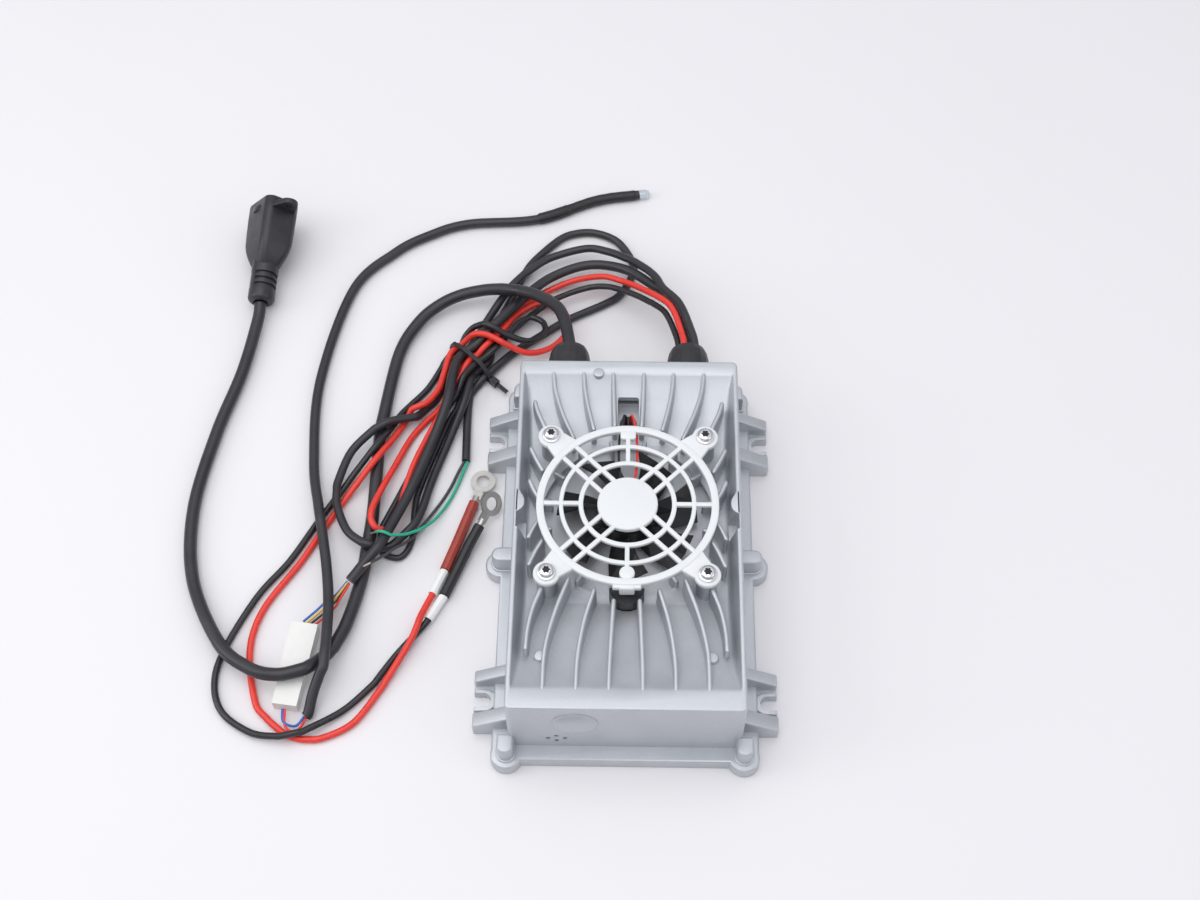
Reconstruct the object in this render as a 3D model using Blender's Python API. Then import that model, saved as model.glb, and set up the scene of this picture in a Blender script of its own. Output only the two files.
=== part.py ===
"""Forklift battery charger: a finned die-cast housing with a fan, and its own leads.

Units are metres and +Z is up. The origin is the centre of the underside. +X is to the right
and +Y is towards the cable glands. The housing stands on its underside at Z = 0, and the
leads lie on the same surface.
"""
import math

import bmesh
import bpy
from mathutils import Matrix, Vector

MM = 0.001

# Clearances
SEAT_GAP = 0.3 * MM
RUNNING_GAP = 0.8 * MM

# Housing body
HOUSING_WIDTH = 120.0 * MM
HOUSING_LENGTH = 207.4 * MM
HOUSING_HEIGHT = 56.0 * MM
HOUSING_CORNER_RADIUS = 3.0 * MM
WALL = 3.2 * MM

# Foot flange, with its six screw lugs
FOOT_FLANGE_X = 9.0 * MM
FOOT_FLANGE_Y = 8.1 * MM
FOOT_HEIGHT = 8.0 * MM
LUG_RADIUS = 8.2 * MM
CORNER_LUG_X = 61.2 * MM
CORNER_LUG_Y = 108.4 * MM
MIDDLE_LUG_X = 69.0 * MM
MIDDLE_LUG_Y = 1.2 * MM
LUG_BOSS_RADIUS = 4.3 * MM
LUG_BOSS_TOP = 20.0 * MM
LUG_BOSS_CHAMFER = 1.4 * MM

# Bottom cover, gasket and cover screws
COVER_THICKNESS = 2.0 * MM
COVER_INSET = 1.6 * MM
GASKET_THICKNESS = 0.8 * MM
GASKET_WIDTH = 5.0 * MM
SCREW_HEAD_RADIUS = 3.0 * MM
SCREW_SHANK_RADIUS = 1.5 * MM
SCREW_HEAD_HEIGHT = 1.5 * MM
COVER_SCREW_LENGTH = 12.0 * MM

# Mounting brackets
BRACKET_REACH = 79.4 * MM
BRACKET_LENGTH = 31.6 * MM
BRACKET_Y = 79.0 * MM
BRACKET_PLATE = 4.3 * MM
RIB_TIP_HEIGHT = 9.4 * MM
RIB_WALL_HEIGHT = 20.0 * MM
OUTER_RIB = 8.0 * MM
INNER_RIB = 6.6 * MM
SLOT_WIDTH = 8.0 * MM
SLOT_DEPTH = 9.0 * MM

# Finned tray in the top of the housing
RIM = 2.8 * MM
RIM_DRAFT = 0.17
NEAR_STRIP = 10.2 * MM
FAR_STRIP = 7.2 * MM
TRAY_FLOOR = 40.5 * MM
NEAR_SLOPE = 55.0 * MM
FAR_SLOPE = 38.0 * MM
SLOPE_STEPS = 6
RIM_BOSS_RADIUS = 4.7 * MM
RIM_BOSS_Y = 13.3 * MM
RIM_BOSS_INSET = 1.0 * MM
RIM_BOSS_SIDES = 12
RIM_NOTCH_LENGTH = 10.0 * MM
RIM_NOTCH_DEPTH = 1.4 * MM

# Fins
FIN_THICKNESS = 2.4 * MM
FIN_ROOT_GROWTH = 0.8 * MM
FIN_TOP_DROP = 0.35 * MM
FIN_TOP_CHAMFER = 0.7 * MM
FIN_SINK = 3.0 * MM

# Fan, its well and its guard
FAN_Y = 11.0 * MM
WELL_RADIUS = 46.5 * MM
WELL_FLOOR = 36.0 * MM
FAN_SCREW_SPACING = 82.5 * MM
FAN_BOSS_RADIUS = 5.6 * MM
FAN_BOSS_TOP = 56.3 * MM
GUARD_THICKNESS = 3.2 * MM
GUARD_RADIUS = 48.0 * MM
GUARD_RING_WIDTH = 4.0 * MM
MIDDLE_RING_OUTER = 36.1 * MM
MIDDLE_RING_INNER = 33.8 * MM
INNER_RING_OUTER = 25.8 * MM
INNER_RING_INNER = 23.3 * MM
GUARD_DISC_RADIUS = 15.9 * MM
GUARD_GRID_THICKNESS = 2.2 * MM
GUARD_BAR = 2.3 * MM
GUARD_BAR_PAIR = 9.5 * MM
GUARD_EAR_RADIUS = 7.0 * MM
GUARD_TAB_WIDTH = 8.0 * MM
GUARD_TAB_DROP = 7.0 * MM
FAN_SCREW_HEAD_RADIUS = 4.0 * MM
FAN_SCREW_HEAD_HEIGHT = 2.4 * MM
FAN_WASHER_RADIUS = 4.9 * MM
FAN_WASHER_THICKNESS = 0.9 * MM
FAN_SCREW_REACH = 8.0 * MM
SOCKET_RADIUS = 1.6 * MM
SOCKET_DEPTH = 1.5 * MM
IMPELLER_RADIUS = 37.5 * MM
HUB_RADIUS = 15.5 * MM
HUB_WALL = 1.4 * MM
HUB_FLOOR_THICKNESS = 2.0 * MM
HUB_BOTTOM_GAP = 2.0 * MM
BLADE_COUNT = 7
BLADE_THICKNESS = 1.3 * MM
BLADE_BOTTOM_GAP = 1.6 * MM
BLADE_HEIGHT = 12.0 * MM
BLADE_ROOT_PITCH = 48.0
BLADE_TIP_PITCH = 26.0
BLADE_CHORD = 19.0 * MM
MAGNET_THICKNESS = 1.4 * MM
SHAFT_RADIUS = 1.5 * MM
BEARING_WALL = 1.5 * MM
STATOR_TUBE_WALL = 1.5 * MM

# Wire pocket beyond the fan
POCKET_HALF_WIDTH = 5.8 * MM
POCKET_NEAR = 67.6 * MM
POCKET_FAR = 84.2 * MM
POCKET_FLOOR = 38.5 * MM
WIRE_HOLE_Y = 72.5 * MM
WIRE_HOLE_RADIUS = 3.4 * MM
GROMMET_FLANGE = 1.2 * MM
GROMMET_FLANGE_RADIUS = 4.7 * MM
GROMMET_BORE_X = 1.25 * MM
FAN_WIRE = 1.4 * MM

# Marks on the casting
FRONT_DISC_X = -25.4 * MM
FRONT_DISC_Z = 38.6 * MM
FRONT_DISC_RADIUS = 11.6 * MM
FRONT_DISC_HEIGHT = 0.7 * MM
VENT_X = -35.0 * MM
VENT_Z = 18.4 * MM
VENT_STEP_X = 4.3 * MM
VENT_STEP_Z = 3.0 * MM
VENT_RADIUS = 1.2 * MM
PIN_MARK_RADIUS = 2.9 * MM
PIN_MARKS = [(-43.5 * MM, -72.0 * MM), (43.5 * MM, -72.0 * MM), (-16.5 * MM, 95.7 * MM)]
NEAR_NOTCH_RADIUS = 9.5 * MM

# Cable glands
GLAND_X = 33.7 * MM
GLAND_Z = 34.0 * MM
GLAND_RADIUS = 12.4 * MM
GLAND_FLANGE = 7.0 * MM
GLAND_DOME = 15.0 * MM
GLAND_NOSE_RADIUS = 8.2 * MM
GLAND_THREAD_RADIUS = 8.0 * MM
GLAND_INSIDE = 5.0 * MM
GLAND_NUT_RADIUS = 10.5 * MM

# Circuit board and what stands on it
BOARD_MARGIN_X = 3.8 * MM
BOARD_MARGIN_Y = 4.5 * MM
BOARD_THICKNESS = 1.6 * MM
BOARD_TOP = 9.0 * MM
BOARD_POST_RADIUS = 3.6 * MM
BOARD_SCREW_INSET_X = 6.0 * MM
BOARD_SCREW_INSET_Y = 5.0 * MM
BOARD_SCREW_RADIUS = 1.25 * MM
BOARD_SCREW_HEAD_RADIUS = 2.5 * MM
BOARD_SCREW_HEAD = 1.6 * MM
BOARD_SCREW_REACH = 6.0 * MM
TRANSFORMER_CENTRE = (-8.0 * MM, -72.0 * MM)
TRANSFORMER_HALF_X = 19.0 * MM
TRANSFORMER_HALF_Y = 14.0 * MM
TRANSFORMER_CORE_HALF_Y = 7.0 * MM
TRANSFORMER_HEIGHT = 27.0 * MM
CHOKE_CENTRE = (-26.0 * MM, 78.0 * MM)
CHOKE_RADIUS = 12.0 * MM
CHOKE_SECTION = 4.5 * MM
BULK_CAPACITOR_CENTRE = (25.0 * MM, 76.0 * MM)
BULK_CAPACITOR_RADIUS = 11.0 * MM
BULK_CAPACITOR_HEIGHT = 30.0 * MM
RELAY_CENTRE = (30.0 * MM, -62.0 * MM)
RELAY_HALF_X = 9.0 * MM
RELAY_HALF_Y = 7.5 * MM
RELAY_HEIGHT = 16.0 * MM
TRANSISTOR_THICKNESS = 5.0 * MM
TRANSISTOR_WIDTH = 16.0 * MM
TRANSISTOR_HEIGHT = 21.0 * MM
TRANSISTOR_Y = -20.0 * MM

# Leads, and what is fitted on them
MAINS_CABLE = 7.2 * MM
LAMP_CABLE = 5.8 * MM
DC_WIRE = 3.7 * MM
PAIR_CABLE = 4.8 * MM
SIGNAL_CABLE = 5.8 * MM
WIRE_GROUP = 2.4 * MM
CORE_WIRE = 1.7 * MM
CORD_TURN = 13.0
CURVE_STEPS = 24
CORD_LONGEST_STEP = 16.0 * MM
CORD_SHORTEST_STEP = 3.0 * MM
RIGHT_GLAND_BORES = [
    (3.9 * MM, 3.2 * MM, PAIR_CABLE / 2), (2.2 * MM, -3.9 * MM, SIGNAL_CABLE / 2),
    (-2.2 * MM, 3.6 * MM, DC_WIRE / 2), (-4.9 * MM, -1.2 * MM, DC_WIRE / 2)]
LABEL_START = 56.5 * MM
LABEL_END = 40.8 * MM
LABEL_WALL = 0.45 * MM
SHRINK_START = 40.3 * MM
SHRINK_WALL = 0.9 * MM
SHRINK_OVERHANG = 5.0 * MM
LUG_REACH = 19.5 * MM
LUG_RING_RADIUS = 7.0 * MM
LUG_HOLE_RADIUS = 3.8 * MM
LUG_THICKNESS = 1.2 * MM
LUG_TONGUE_HALF_WIDTH = 2.6 * MM
NEGATIVE_LUG_ROLL = 50.0
CONNECTOR_TOP = (-172.4 * MM, -36.1 * MM)
CONNECTOR_BOTTOM = (-178.4 * MM, -83.0 * MM)
CONNECTOR_HALF_WIDTH = 7.2 * MM
CONNECTOR_HEIGHT = 8.6 * MM
CONNECTOR_SPLIT = 0.58
CONNECTOR_STEP = 0.6 * MM
LAMP_LENGTH = 7.0 * MM
TIE_CENTRE = (-92.9 * MM, 136.5 * MM)
TIE_ALONG = (-0.676, -0.737)
TIE_WIDTH = 2.6 * MM
TIE_BAND = 1.1 * MM
TIE_OUTLINE = [(-15.7, 0.95), (15.4, 0.95), (16.3, 3.3), (15.4, 6.2), (7.2, 12.0), (5.6, 12.4),
               (-5.4, 12.8), (-6.9, 12.6), (-13.9, 9.9), (-14.9, 8.6), (-16.5, 3.4)]
TIE_HEAD = 5.0 * MM
TIE_TAIL = 13.0 * MM

# Inlet plug on the mains cable
PLUG_ENTRY = (-221.9 * MM, 175.2 * MM, 8.4 * MM)
PLUG_HEADING = 2.5
PLUG_PITCH = 10.9
PLUG_ROLL = 50.0
PLUG_RELIEF_LENGTH = 25.0 * MM
PLUG_RELIEF_RADIUS = 8.0 * MM
PLUG_BODY_END = 66.0 * MM
PLUG_FLANGE_START = 58.0 * MM
PLUG_FLANGE_END = 61.5 * MM
PLUG_HALF_X = 14.0 * MM
PLUG_HALF_Z = 11.0 * MM
PLUG_CORNER_RADIUS = 5.0 * MM
PLUG_TAPER_SHARE = 0.6
PLUG_EAR_SPACING = 40.0 * MM
PLUG_EAR_RADIUS = 6.0 * MM
PLUG_HOLE_RADIUS = 1.8 * MM
PLUG_SOCKET_HALF_X = 9.5 * MM
PLUG_SOCKET_HALF_Z = 6.5 * MM
PLUG_SOCKET_DEPTH = 17.0 * MM
PIN_X = 5.5 * MM
PIN_Z = 2.0 * MM
PIN_WIDTH = 4.0 * MM
PIN_THICKNESS = 2.0 * MM
PIN_LENGTH = 14.0 * MM
PIN_ROOT = 4.0 * MM

# Routes of the leads, in millimetres
MAINS_CABLE_ROUTE = [
    (-33.7, 107, 34), (-33.7, 127, 34), (-39.9, 155.5, 30.2), (-53.1, 171.5, 23.2),
    (-64.6, 179.2, 17.9), (-66.7, 180.2, 17.2), (-68.8, 181, 16.3), (-75.5, 183, 14.6),
    (-77.7, 183.4, 14), (-87, 184.1, 12), (-101.1, 182.2, 9.4), (-114.1, 176.1, 7.2),
    (-125.9, 164.4, 5.4), (-135.9, 142.4, 4.1), (-141.8, 98.2, 3.7), (-142.4, 90.7, 3.7),
    (-142.8, 83.2, 3.6), (-142.4, 35.7, 3.6), (-143.8, 10.6, 3.6), (-145.4, -9.4, 3.8),
    (-150.3, -34.3, 5.6), (-155.4, -48.4, 7.1), (-156.6, -50.5, 7.4), (-157.9, -52.6, 7.7),
    (-159.2, -54.5, 8.1), (-162.2, -58.1, 9.3), (-165, -61.3, 11.3), (-166.4, -62.8, 12.2),
    (-170, -65.4, 13.4), (-183.3, -68.5, 13.4), (-198.7, -63.9, 11), (-217.4, -48, 8.1),
    (-237.6, -8.2, 4.4), (-243.4, 36.5, 3.7), (-237.2, 86.1, 3.7), (-227.6, 127.4, 4.6),
    (-222.6, 163.4, 6.2), (-221.9, 175.1, 8.4)]
LAMP_CABLE_ROUTE = [
    (-167, -87.3, 3), (-165.8, -85.4, 4), (-163.8, -76.6, 8.3), (-160.7, -68.1, 12.7),
    (-158.8, -63.9, 14.9), (-158.6, -56.3, 15.9), (-159, -46.2, 14.1), (-160.7, -23.7, 10.4),
    (-164.4, -0.8, 8.1), (-169.3, 21.7, 7.6), (-170.5, 26.6, 7.7), (-171, 29.1, 7.7),
    (-172.7, 36.4, 7.1), (-179.1, 68.4, 3.7), (-181.2, 123.7, 3), (-167.8, 189.9, 3),
    (-144.5, 218.8, 3), (-123.8, 232.8, 3), (-100.5, 241.8, 3), (-58.3, 246, 3), (-21.4, 261.4, 3),
    (5.6, 266.6, 3)]
DC_POSITIVE_ROUTE = [
    (31.5, 107, 37.6), (31.5, 127, 37.6), (30.2, 136.4, 36.7), (25.4, 155.2, 33.5), (19.2, 165.4, 30),
    (5.1, 180.5, 21.4), (-1.9, 186.6, 17.6), (-3.8, 188, 16.7), (-5.8, 189.4, 15.9), (-16.3, 195, 12.2),
    (-32.9, 196.2, 6.4), (-49.1, 190.8, 2.9), (-61.3, 181.9, 2.1), (-63.1, 180.1, 2.2),
    (-65, 178.1, 2.2), (-71.6, 169.5, 3.3), (-75.8, 162.5, 5.5), (-80.2, 155.5, 7.6),
    (-83.9, 151.8, 6.3), (-91.7, 142.4, 3.2), (-98.3, 135.2, 3.1), (-100.2, 130.9, 2.5),
    (-102.8, 116.5, 2), (-104.6, 112, 1.9), (-106.1, 110.1, 1.9), (-107.6, 108.2, 1.9),
    (-113.4, 100.5, 1.9), (-116.6, 96.9, 1.9), (-124.9, 84.6, 2.1), (-133.6, 61.5, 4.8),
    (-138.1, 47.1, 8.5), (-141.8, 34.8, 10.1), (-142.2, 27.5, 10.1), (-140.3, 23.4, 9.6),
    (-138.7, 22.1, 8.7), (-134.6, 21.8, 6.9), (-132.7, 23, 6.2), (-131.1, 24.6, 5.7),
    (-129.1, 28.9, 5.1), (-127.7, 36, 4.8), (-122.1, 62, 6.6), (-114.8, 83.2, 6.6), (-110, 94.5, 7),
    (-107.5, 101.4, 7.7), (-105.9, 108.8, 8.2), (-104.4, 113.9, 7.6), (-101, 120.9, 6.8),
    (-97.6, 127.8, 7.3), (-95.4, 132.1, 8.4), (-92.8, 136, 8.7), (-90.9, 137.6, 8.7), (-89, 139, 8.9),
    (-85.9, 141.8, 11.4), (-82.5, 145.5, 12.2), (-77.9, 151.6, 10.6), (-73.8, 158.6, 9.4),
    (-68.9, 168.1, 7), (-61.8, 175.8, 5), (-55.5, 180, 3.7), (-48.1, 180.4, 2.8), (-43.9, 177.7, 3.9),
    (-39.2, 171.8, 6.5), (-37.9, 169.6, 7.5), (-36.9, 167.2, 7.5), (-36.9, 157.9, 5.8),
    (-46.1, 147, 5.4), (-59.4, 141.3, 8), (-72.9, 143.8, 13.6), (-75, 144.5, 14.8),
    (-81.6, 147.4, 16.4), (-86.6, 148.5, 17), (-91.2, 149.4, 15.2), (-94.9, 148.9, 11.6),
    (-98.3, 147.3, 8), (-100.4, 146.1, 7.6), (-103.8, 142.6, 7.7), (-105.9, 137.8, 8),
    (-108.3, 124.9, 7.9), (-110.8, 114.8, 7.9), (-116.2, 106.3, 8.1), (-120.2, 103.5, 8.4),
    (-124.7, 101.9, 7.1), (-126.3, 100.6, 5.5), (-128.1, 96.6, 3.4), (-134.2, 83, 5.6),
    (-138.5, 73.7, 8.7), (-139.6, 71.4, 9.4), (-140.9, 69.1, 9.9), (-142.2, 66.8, 10.1),
    (-145.2, 62.5, 9.5), (-150.9, 54.7, 6.5), (-160.6, 40.6, 2.7), (-171.3, 20.9, 1.9),
    (-180.3, 3, 1.9), (-196.8, -24.9, 1.9), (-201.4, -49.2, 1.9), (-195.4, -78.2, 1.9),
    (-188, -88.2, 1.9), (-178.5, -96.2, 1.9), (-176.4, -97.5, 1.9), (-174.1, -98.3, 1.9),
    (-171.7, -99, 1.9), (-166.8, -99.8, 1.9), (-157, -98.7, 1.9), (-142, -90.1, 1.9),
    (-129.6, -71.5, 2.4), (-127.2, -67, 2.8), (-123.6, -60.5, 3.7), (-115.6, -45.6, 6.1),
    (-112.3, -36.6, 7.1), (-111.1, -31.8, 6.9), (-108.8, -24.7, 5.5), (-99.8, -1, 3.4),
    (-87.6, 37.3, 3.2)]
DC_NEGATIVE_ROUTE = [
    (28.8, 107, 32.8), (28.8, 127, 32.8), (26.4, 141.2, 31), (21.1, 157.3, 27.6), (14.1, 166.7, 23.6),
    (12.4, 168.4, 22.7), (10.8, 170, 21.9), (9.1, 171.7, 21.1), (3.8, 176.5, 18.7), (-3.7, 182.2, 15.5),
    (-5.5, 183.5, 14.6), (-7.4, 184.9, 13.7), (-13.5, 188.2, 11.2), (-22.8, 189.5, 8.8),
    (-34.7, 186.5, 7.2), (-45.6, 180.6, 7.6), (-47.7, 179.2, 7.5), (-49.7, 177.9, 6.7),
    (-55.7, 174, 4.6), (-65, 165.6, 3.2), (-71.8, 157.3, 4.3), (-78.1, 148.5, 6.6), (-81.7, 144.6, 7.5),
    (-83.8, 143, 7.3), (-85.8, 141.6, 6.1), (-88.8, 138.6, 3.4), (-92.1, 135.1, 3.1),
    (-93.8, 133.4, 3.2), (-95.8, 129, 2.9), (-96.8, 124.3, 2.6), (-98, 114.4, 2), (-98.6, 109.4, 1.9),
    (-100.1, 104.6, 1.9), (-104.9, 93.1, 1.9), (-117.3, 52.4, 1.9), (-119.3, 37.6, 1.9),
    (-119.6, 17.9, 1.9), (-124.9, 7.7, 1.9), (-133.5, 8.9, 1.9), (-136.1, 12.9, 1.9), (-136.9, 20, 1.9),
    (-136.7, 22.4, 1.9), (-136.6, 24.8, 1.9), (-136.3, 27.3, 1.9), (-125.4, 55.4, 1.9),
    (-111.4, 94, 2.3), (-109.1, 98.5, 2.7), (-107.6, 100.6, 2.9), (-104.9, 104.7, 3.8),
    (-102.5, 108.9, 4.8), (-99.9, 112.7, 6.5), (-98.3, 116.6, 8.8), (-95.8, 123.1, 10.9),
    (-90.2, 131.6, 9.9), (-84.6, 136.6, 9.7), (-77.8, 143.8, 10.6), (-69.6, 156.5, 8.5),
    (-65.8, 162.8, 7.9), (-60.1, 167.1, 7.4), (-57.8, 167.6, 7.3), (-51.8, 164.4, 7.4),
    (-49.9, 160.1, 7.8), (-49.9, 157.8, 8), (-52, 153.6, 8.5), (-59.9, 148.3, 10.2),
    (-71.3, 149.6, 14.1), (-79.9, 152.7, 17.9), (-84.6, 154.5, 18.3), (-86.7, 155.4, 17),
    (-92.6, 155.7, 12.5), (-97.2, 152.9, 7.6), (-99.1, 150.2, 4.2), (-100.3, 148.5, 3.3),
    (-103.8, 145.1, 3.2), (-106.8, 141.1, 3.2), (-109.3, 136.8, 2.7), (-111.1, 132.2, 2.4),
    (-117.7, 119, 2), (-126.5, 107.7, 2.3), (-131.8, 99.9, 3.5), (-135.7, 90.7, 5.4),
    (-138.5, 83.6, 8.5), (-142.3, 76.6, 10.1), (-146.7, 70.3, 8.8), (-155.4, 58.7, 4.5),
    (-159.4, 52.5, 3), (-163.4, 46.3, 2.1), (-173.2, 28.9, 1.9), (-186, 4.5, 1.9), (-201.5, -18.1, 1.9),
    (-215.4, -50.2, 1.9), (-217.8, -69.8, 1.9), (-211.4, -85.7, 2), (-195.2, -96.8, 2.9),
    (-180.8, -99.6, 5.3), (-178.4, -99.5, 5.8), (-175.9, -99.3, 6.3), (-173.5, -98.8, 6.6),
    (-171.1, -98.1, 6.5), (-168.8, -97.3, 6.1), (-166.6, -96.3, 5.5), (-148.3, -83.8, 2.4),
    (-134.5, -69.4, 1.9), (-131.6, -65.3, 1.9), (-129, -61, 1.9), (-122.2, -50.6, 1.9),
    (-113, -38.6, 2.1), (-108.2, -32.9, 3.2), (-106.9, -30.8, 3.2), (-104.4, -26.5, 3.3),
    (-96.7, -10.9, 3.4), (-91.1, 5.3, 4.3), (-84.1, 20.6, 6.5)]
PAIR_CABLE_ROUTE = [
    (37.6, 107, 37.2), (37.6, 127, 37.2), (35.5, 138.8, 36.4), (29.1, 160, 33.2), (19.8, 174.6, 28.5),
    (16.2, 183.7, 25.8), (11.5, 191.7, 22.6), (3.8, 200.6, 19), (2.1, 202.2, 18.2), (0.3, 203.8, 17.5),
    (-1.5, 205.3, 16.8), (-13.3, 213.6, 12.7), (-27, 218.1, 9.6), (-48.2, 212.5, 7.3),
    (-61.9, 201.4, 7.8), (-65.2, 197.6, 8.2), (-66.8, 195.7, 8.3), (-71.4, 189.8, 8.1),
    (-76.8, 181.8, 6.6), (-84, 169.1, 4.4), (-94, 148.5, 3.6), (-100.5, 140.9, 3.6),
    (-104.3, 134.9, 3.2), (-108.3, 121.2, 2.6), (-113, 110.4, 2.6), (-117.4, 105, 3),
    (-120.1, 101, 3.6), (-122.3, 97.1, 5.9), (-124.1, 95.9, 7.3), (-135.6, 91.2, 10.7),
    (-142.1, 87.6, 10.8), (-144.2, 86.2, 10.5), (-146.2, 84.8, 10.1), (-157.5, 72.1, 7.5),
    (-163.1, 53.4, 7.1), (-163.4, 46, 7.4), (-162.1, 36.2, 7.6), (-155.2, 20.7, 8.5),
    (-146.4, 12.7, 10.2), (-144.2, 11.7, 10.6), (-141.9, 11, 10.3), (-139.8, 10.8, 9.3),
    (-137.8, 10.7, 7.9), (-135.6, 10.7, 7.1), (-133.2, 11, 6.8), (-131.1, 11.9, 6.7), (-129, 13.1, 6.6),
    (-121.1, 21.7, 7.3), (-117.3, 27.8, 6.9), (-114.7, 37.1, 5.2), (-110.7, 56.5, 3.1),
    (-102.2, 84.7, 3.9), (-95.6, 104.6, 7.8), (-93.9, 112, 8.2), (-92.7, 120.3, 7.5),
    (-91.8, 125.7, 5.5), (-90.8, 128, 4.3), (-84.1, 136, 3.6), (-82, 140.7, 2.4), (-81.8, 145.8, 2.4),
    (-80.1, 153.2, 2.4), (-80.6, 160.7, 2.4), (-73.3, 179.4, 2.4), (-68.3, 193.5, 2.4),
    (-66.5, 198.2, 2.4), (-65.5, 200.5, 2.4), (-64.5, 202.8, 2.4), (-58.5, 213.7, 2.4),
    (-43.6, 230.3, 2.4), (-32.6, 235.6, 2.4), (-20.4, 235.7, 2.4), (-7.5, 229.2, 2.4),
    (1.3, 214.7, 2.4), (2.2, 205, 2.4), (-4.8, 189.6, 2.4), (-14.3, 181.8, 2.4), (-36.2, 169.8, 2.4),
    (-50.2, 159.4, 2.5), (-67.9, 145.4, 2.8), (-77.8, 134.4, 3.6), (-80.9, 130.6, 3.8),
    (-85.6, 125.2, 3.7), (-88.4, 121.9, 2.5), (-91.9, 116.1, 2.4), (-92.9, 111.7, 2.4),
    (-93.1, 97.2, 2.4), (-92.4, 69.8, 2.4)]
SIGNAL_CABLE_ROUTE = [
    (35.9, 107, 30.1), (35.9, 127, 30.1), (34.9, 136.6, 29.5), (31.4, 155.8, 27.4), (28.3, 164.9, 25.8),
    (23.6, 173.2, 23.4), (20.8, 176.8, 21.8), (15.6, 182, 19.6), (-2.2, 199, 13.9), (-25.2, 205.4, 9.7),
    (-48, 196.5, 8.2), (-63.9, 179.5, 10), (-65.3, 177.2, 10.3), (-66.8, 175.1, 11),
    (-69.7, 170.7, 12.2), (-77.4, 160.3, 13.6), (-83.8, 152.9, 12.7), (-89.9, 146.1, 9.9),
    (-95.4, 141.4, 9.2), (-98.9, 137.9, 9.2), (-100.9, 133.1, 10.1), (-101.8, 127.9, 11.3),
    (-102.7, 119.9, 12.6), (-103.2, 112.1, 13.4), (-103.8, 107.1, 13.4), (-105.1, 99.9, 12.9),
    (-111, 79.6, 10.2), (-121.4, 46.7, 9.9), (-131, 20.9, 11.6), (-135.5, 9, 13.6), (-138.5, 4.8, 12.9),
    (-141.6, 0.8, 12.1), (-150.2, -11.5, 10.1)]
SIGNAL_WIRES_ROUTE = [
    (-150.9, -12.3, 9.5), (-156.7, -19.9, 6.4), (-160, -23.5, 5.2), (-165.3, -28.7, 4.6),
    (-172.2, -35.4, 4.3)]
LAMP_WIRES_ROUTE = [
    (-167.3, -87.9, 3), (-170.7, -94, 3.7), (-175, -94.6, 4.5), (-178.2, -91.4, 4.3),
    (-179, -84.1, 4.2)]
GREEN_WIRE_ROUTE = [
    (-91.5, 69.2, 2.4), (-96.1, 54.6, 1.4), (-100.8, 43, 1.5), (-107.7, 30.4, 3.7), (-115, 21.9, 7.9),
    (-116.8, 20.5, 8.9), (-118.6, 19.1, 9.9), (-122.6, 16.7, 11.8), (-128.9, 14.4, 15.2),
    (-131, 14.6, 16.4), (-133.4, 15.3, 17.1), (-135.8, 16, 16.3), (-137.7, 16.5, 14.6)]
GREY_WIRE_ROUTE = [
    (-93.4, 69.2, 2.4), (-96.5, 62.2, 1.8), (-100.1, 52.9, 1.3), (-105.7, 41.8, 1.2),
    (-115.9, 23.6, 4.1), (-119.1, 17.6, 5.8), (-122, 14, 7.4), (-127.5, 9.4, 9.2), (-134.2, 2.2, 12.1),
    (-139.4, -2.7, 14.7)]

# Values that follow from the ones above
PLUG_TAPER = [
    (PLUG_RELIEF_LENGTH, 5.6 * MM), (PLUG_RELIEF_LENGTH + 5 * MM, 3.0 * MM),
    (PLUG_RELIEF_LENGTH + 13 * MM, 0.6 * MM), (PLUG_FLANGE_START, 0.0),
    (PLUG_FLANGE_END + 0.5 * MM, 0.0), (PLUG_BODY_END, 1.0 * MM)]
HALF_WIDTH = HOUSING_WIDTH / 2
HALF_LENGTH = HOUSING_LENGTH / 2
FOOT_WIDTH = HOUSING_WIDTH + 2 * FOOT_FLANGE_X
FOOT_LENGTH = HOUSING_LENGTH + 2 * FOOT_FLANGE_Y
COVER_SEAT = COVER_THICKNESS + GASKET_THICKNESS + 2 * SEAT_GAP
NEAR_TRAY_END = -HALF_LENGTH + NEAR_STRIP
FAR_TRAY_END = HALF_LENGTH - FAR_STRIP
GUARD_BOTTOM = FAN_BOSS_TOP + SEAT_GAP
GUARD_TOP = GUARD_BOTTOM + GUARD_THICKNESS
HUB_BOTTOM = WELL_FLOOR + HUB_BOTTOM_GAP
LUG_CENTRES = [
    (CORNER_LUG_X, CORNER_LUG_Y), (-CORNER_LUG_X, CORNER_LUG_Y),
    (MIDDLE_LUG_X, MIDDLE_LUG_Y), (-MIDDLE_LUG_X, MIDDLE_LUG_Y),
    (CORNER_LUG_X, -CORNER_LUG_Y), (-CORNER_LUG_X, -CORNER_LUG_Y)]
BOARD_HALF_X = HALF_WIDTH - WALL - BOARD_MARGIN_X
BOARD_HALF_Y = HALF_LENGTH - WALL - BOARD_MARGIN_Y
BOARD_SCREW_CENTRES = [(sx * (BOARD_HALF_X - BOARD_SCREW_INSET_X), sy * (BOARD_HALF_Y - BOARD_SCREW_INSET_Y))
                       for sx in (-1, 1) for sy in (-1, 1)]
FAN_SCREW_CENTRES = [
    (sx * FAN_SCREW_SPACING / 2, FAN_Y + sy * FAN_SCREW_SPACING / 2)
    for sx in (-1, 1) for sy in (-1, 1)]


def clear_scene():
    for item in list(bpy.data.objects):
        bpy.data.objects.remove(item, do_unlink=True)


def material(name, colour, roughness, metallic=0.0):
    made = bpy.data.materials.new(name)
    made.use_nodes = True
    shader = made.node_tree.nodes["Principled BSDF"]
    shader.inputs["Base Color"].default_value = (*colour, 1.0)
    shader.inputs["Roughness"].default_value = roughness
    shader.inputs["Metallic"].default_value = metallic
    made.diffuse_color = (*colour, 1.0)
    return made


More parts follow.
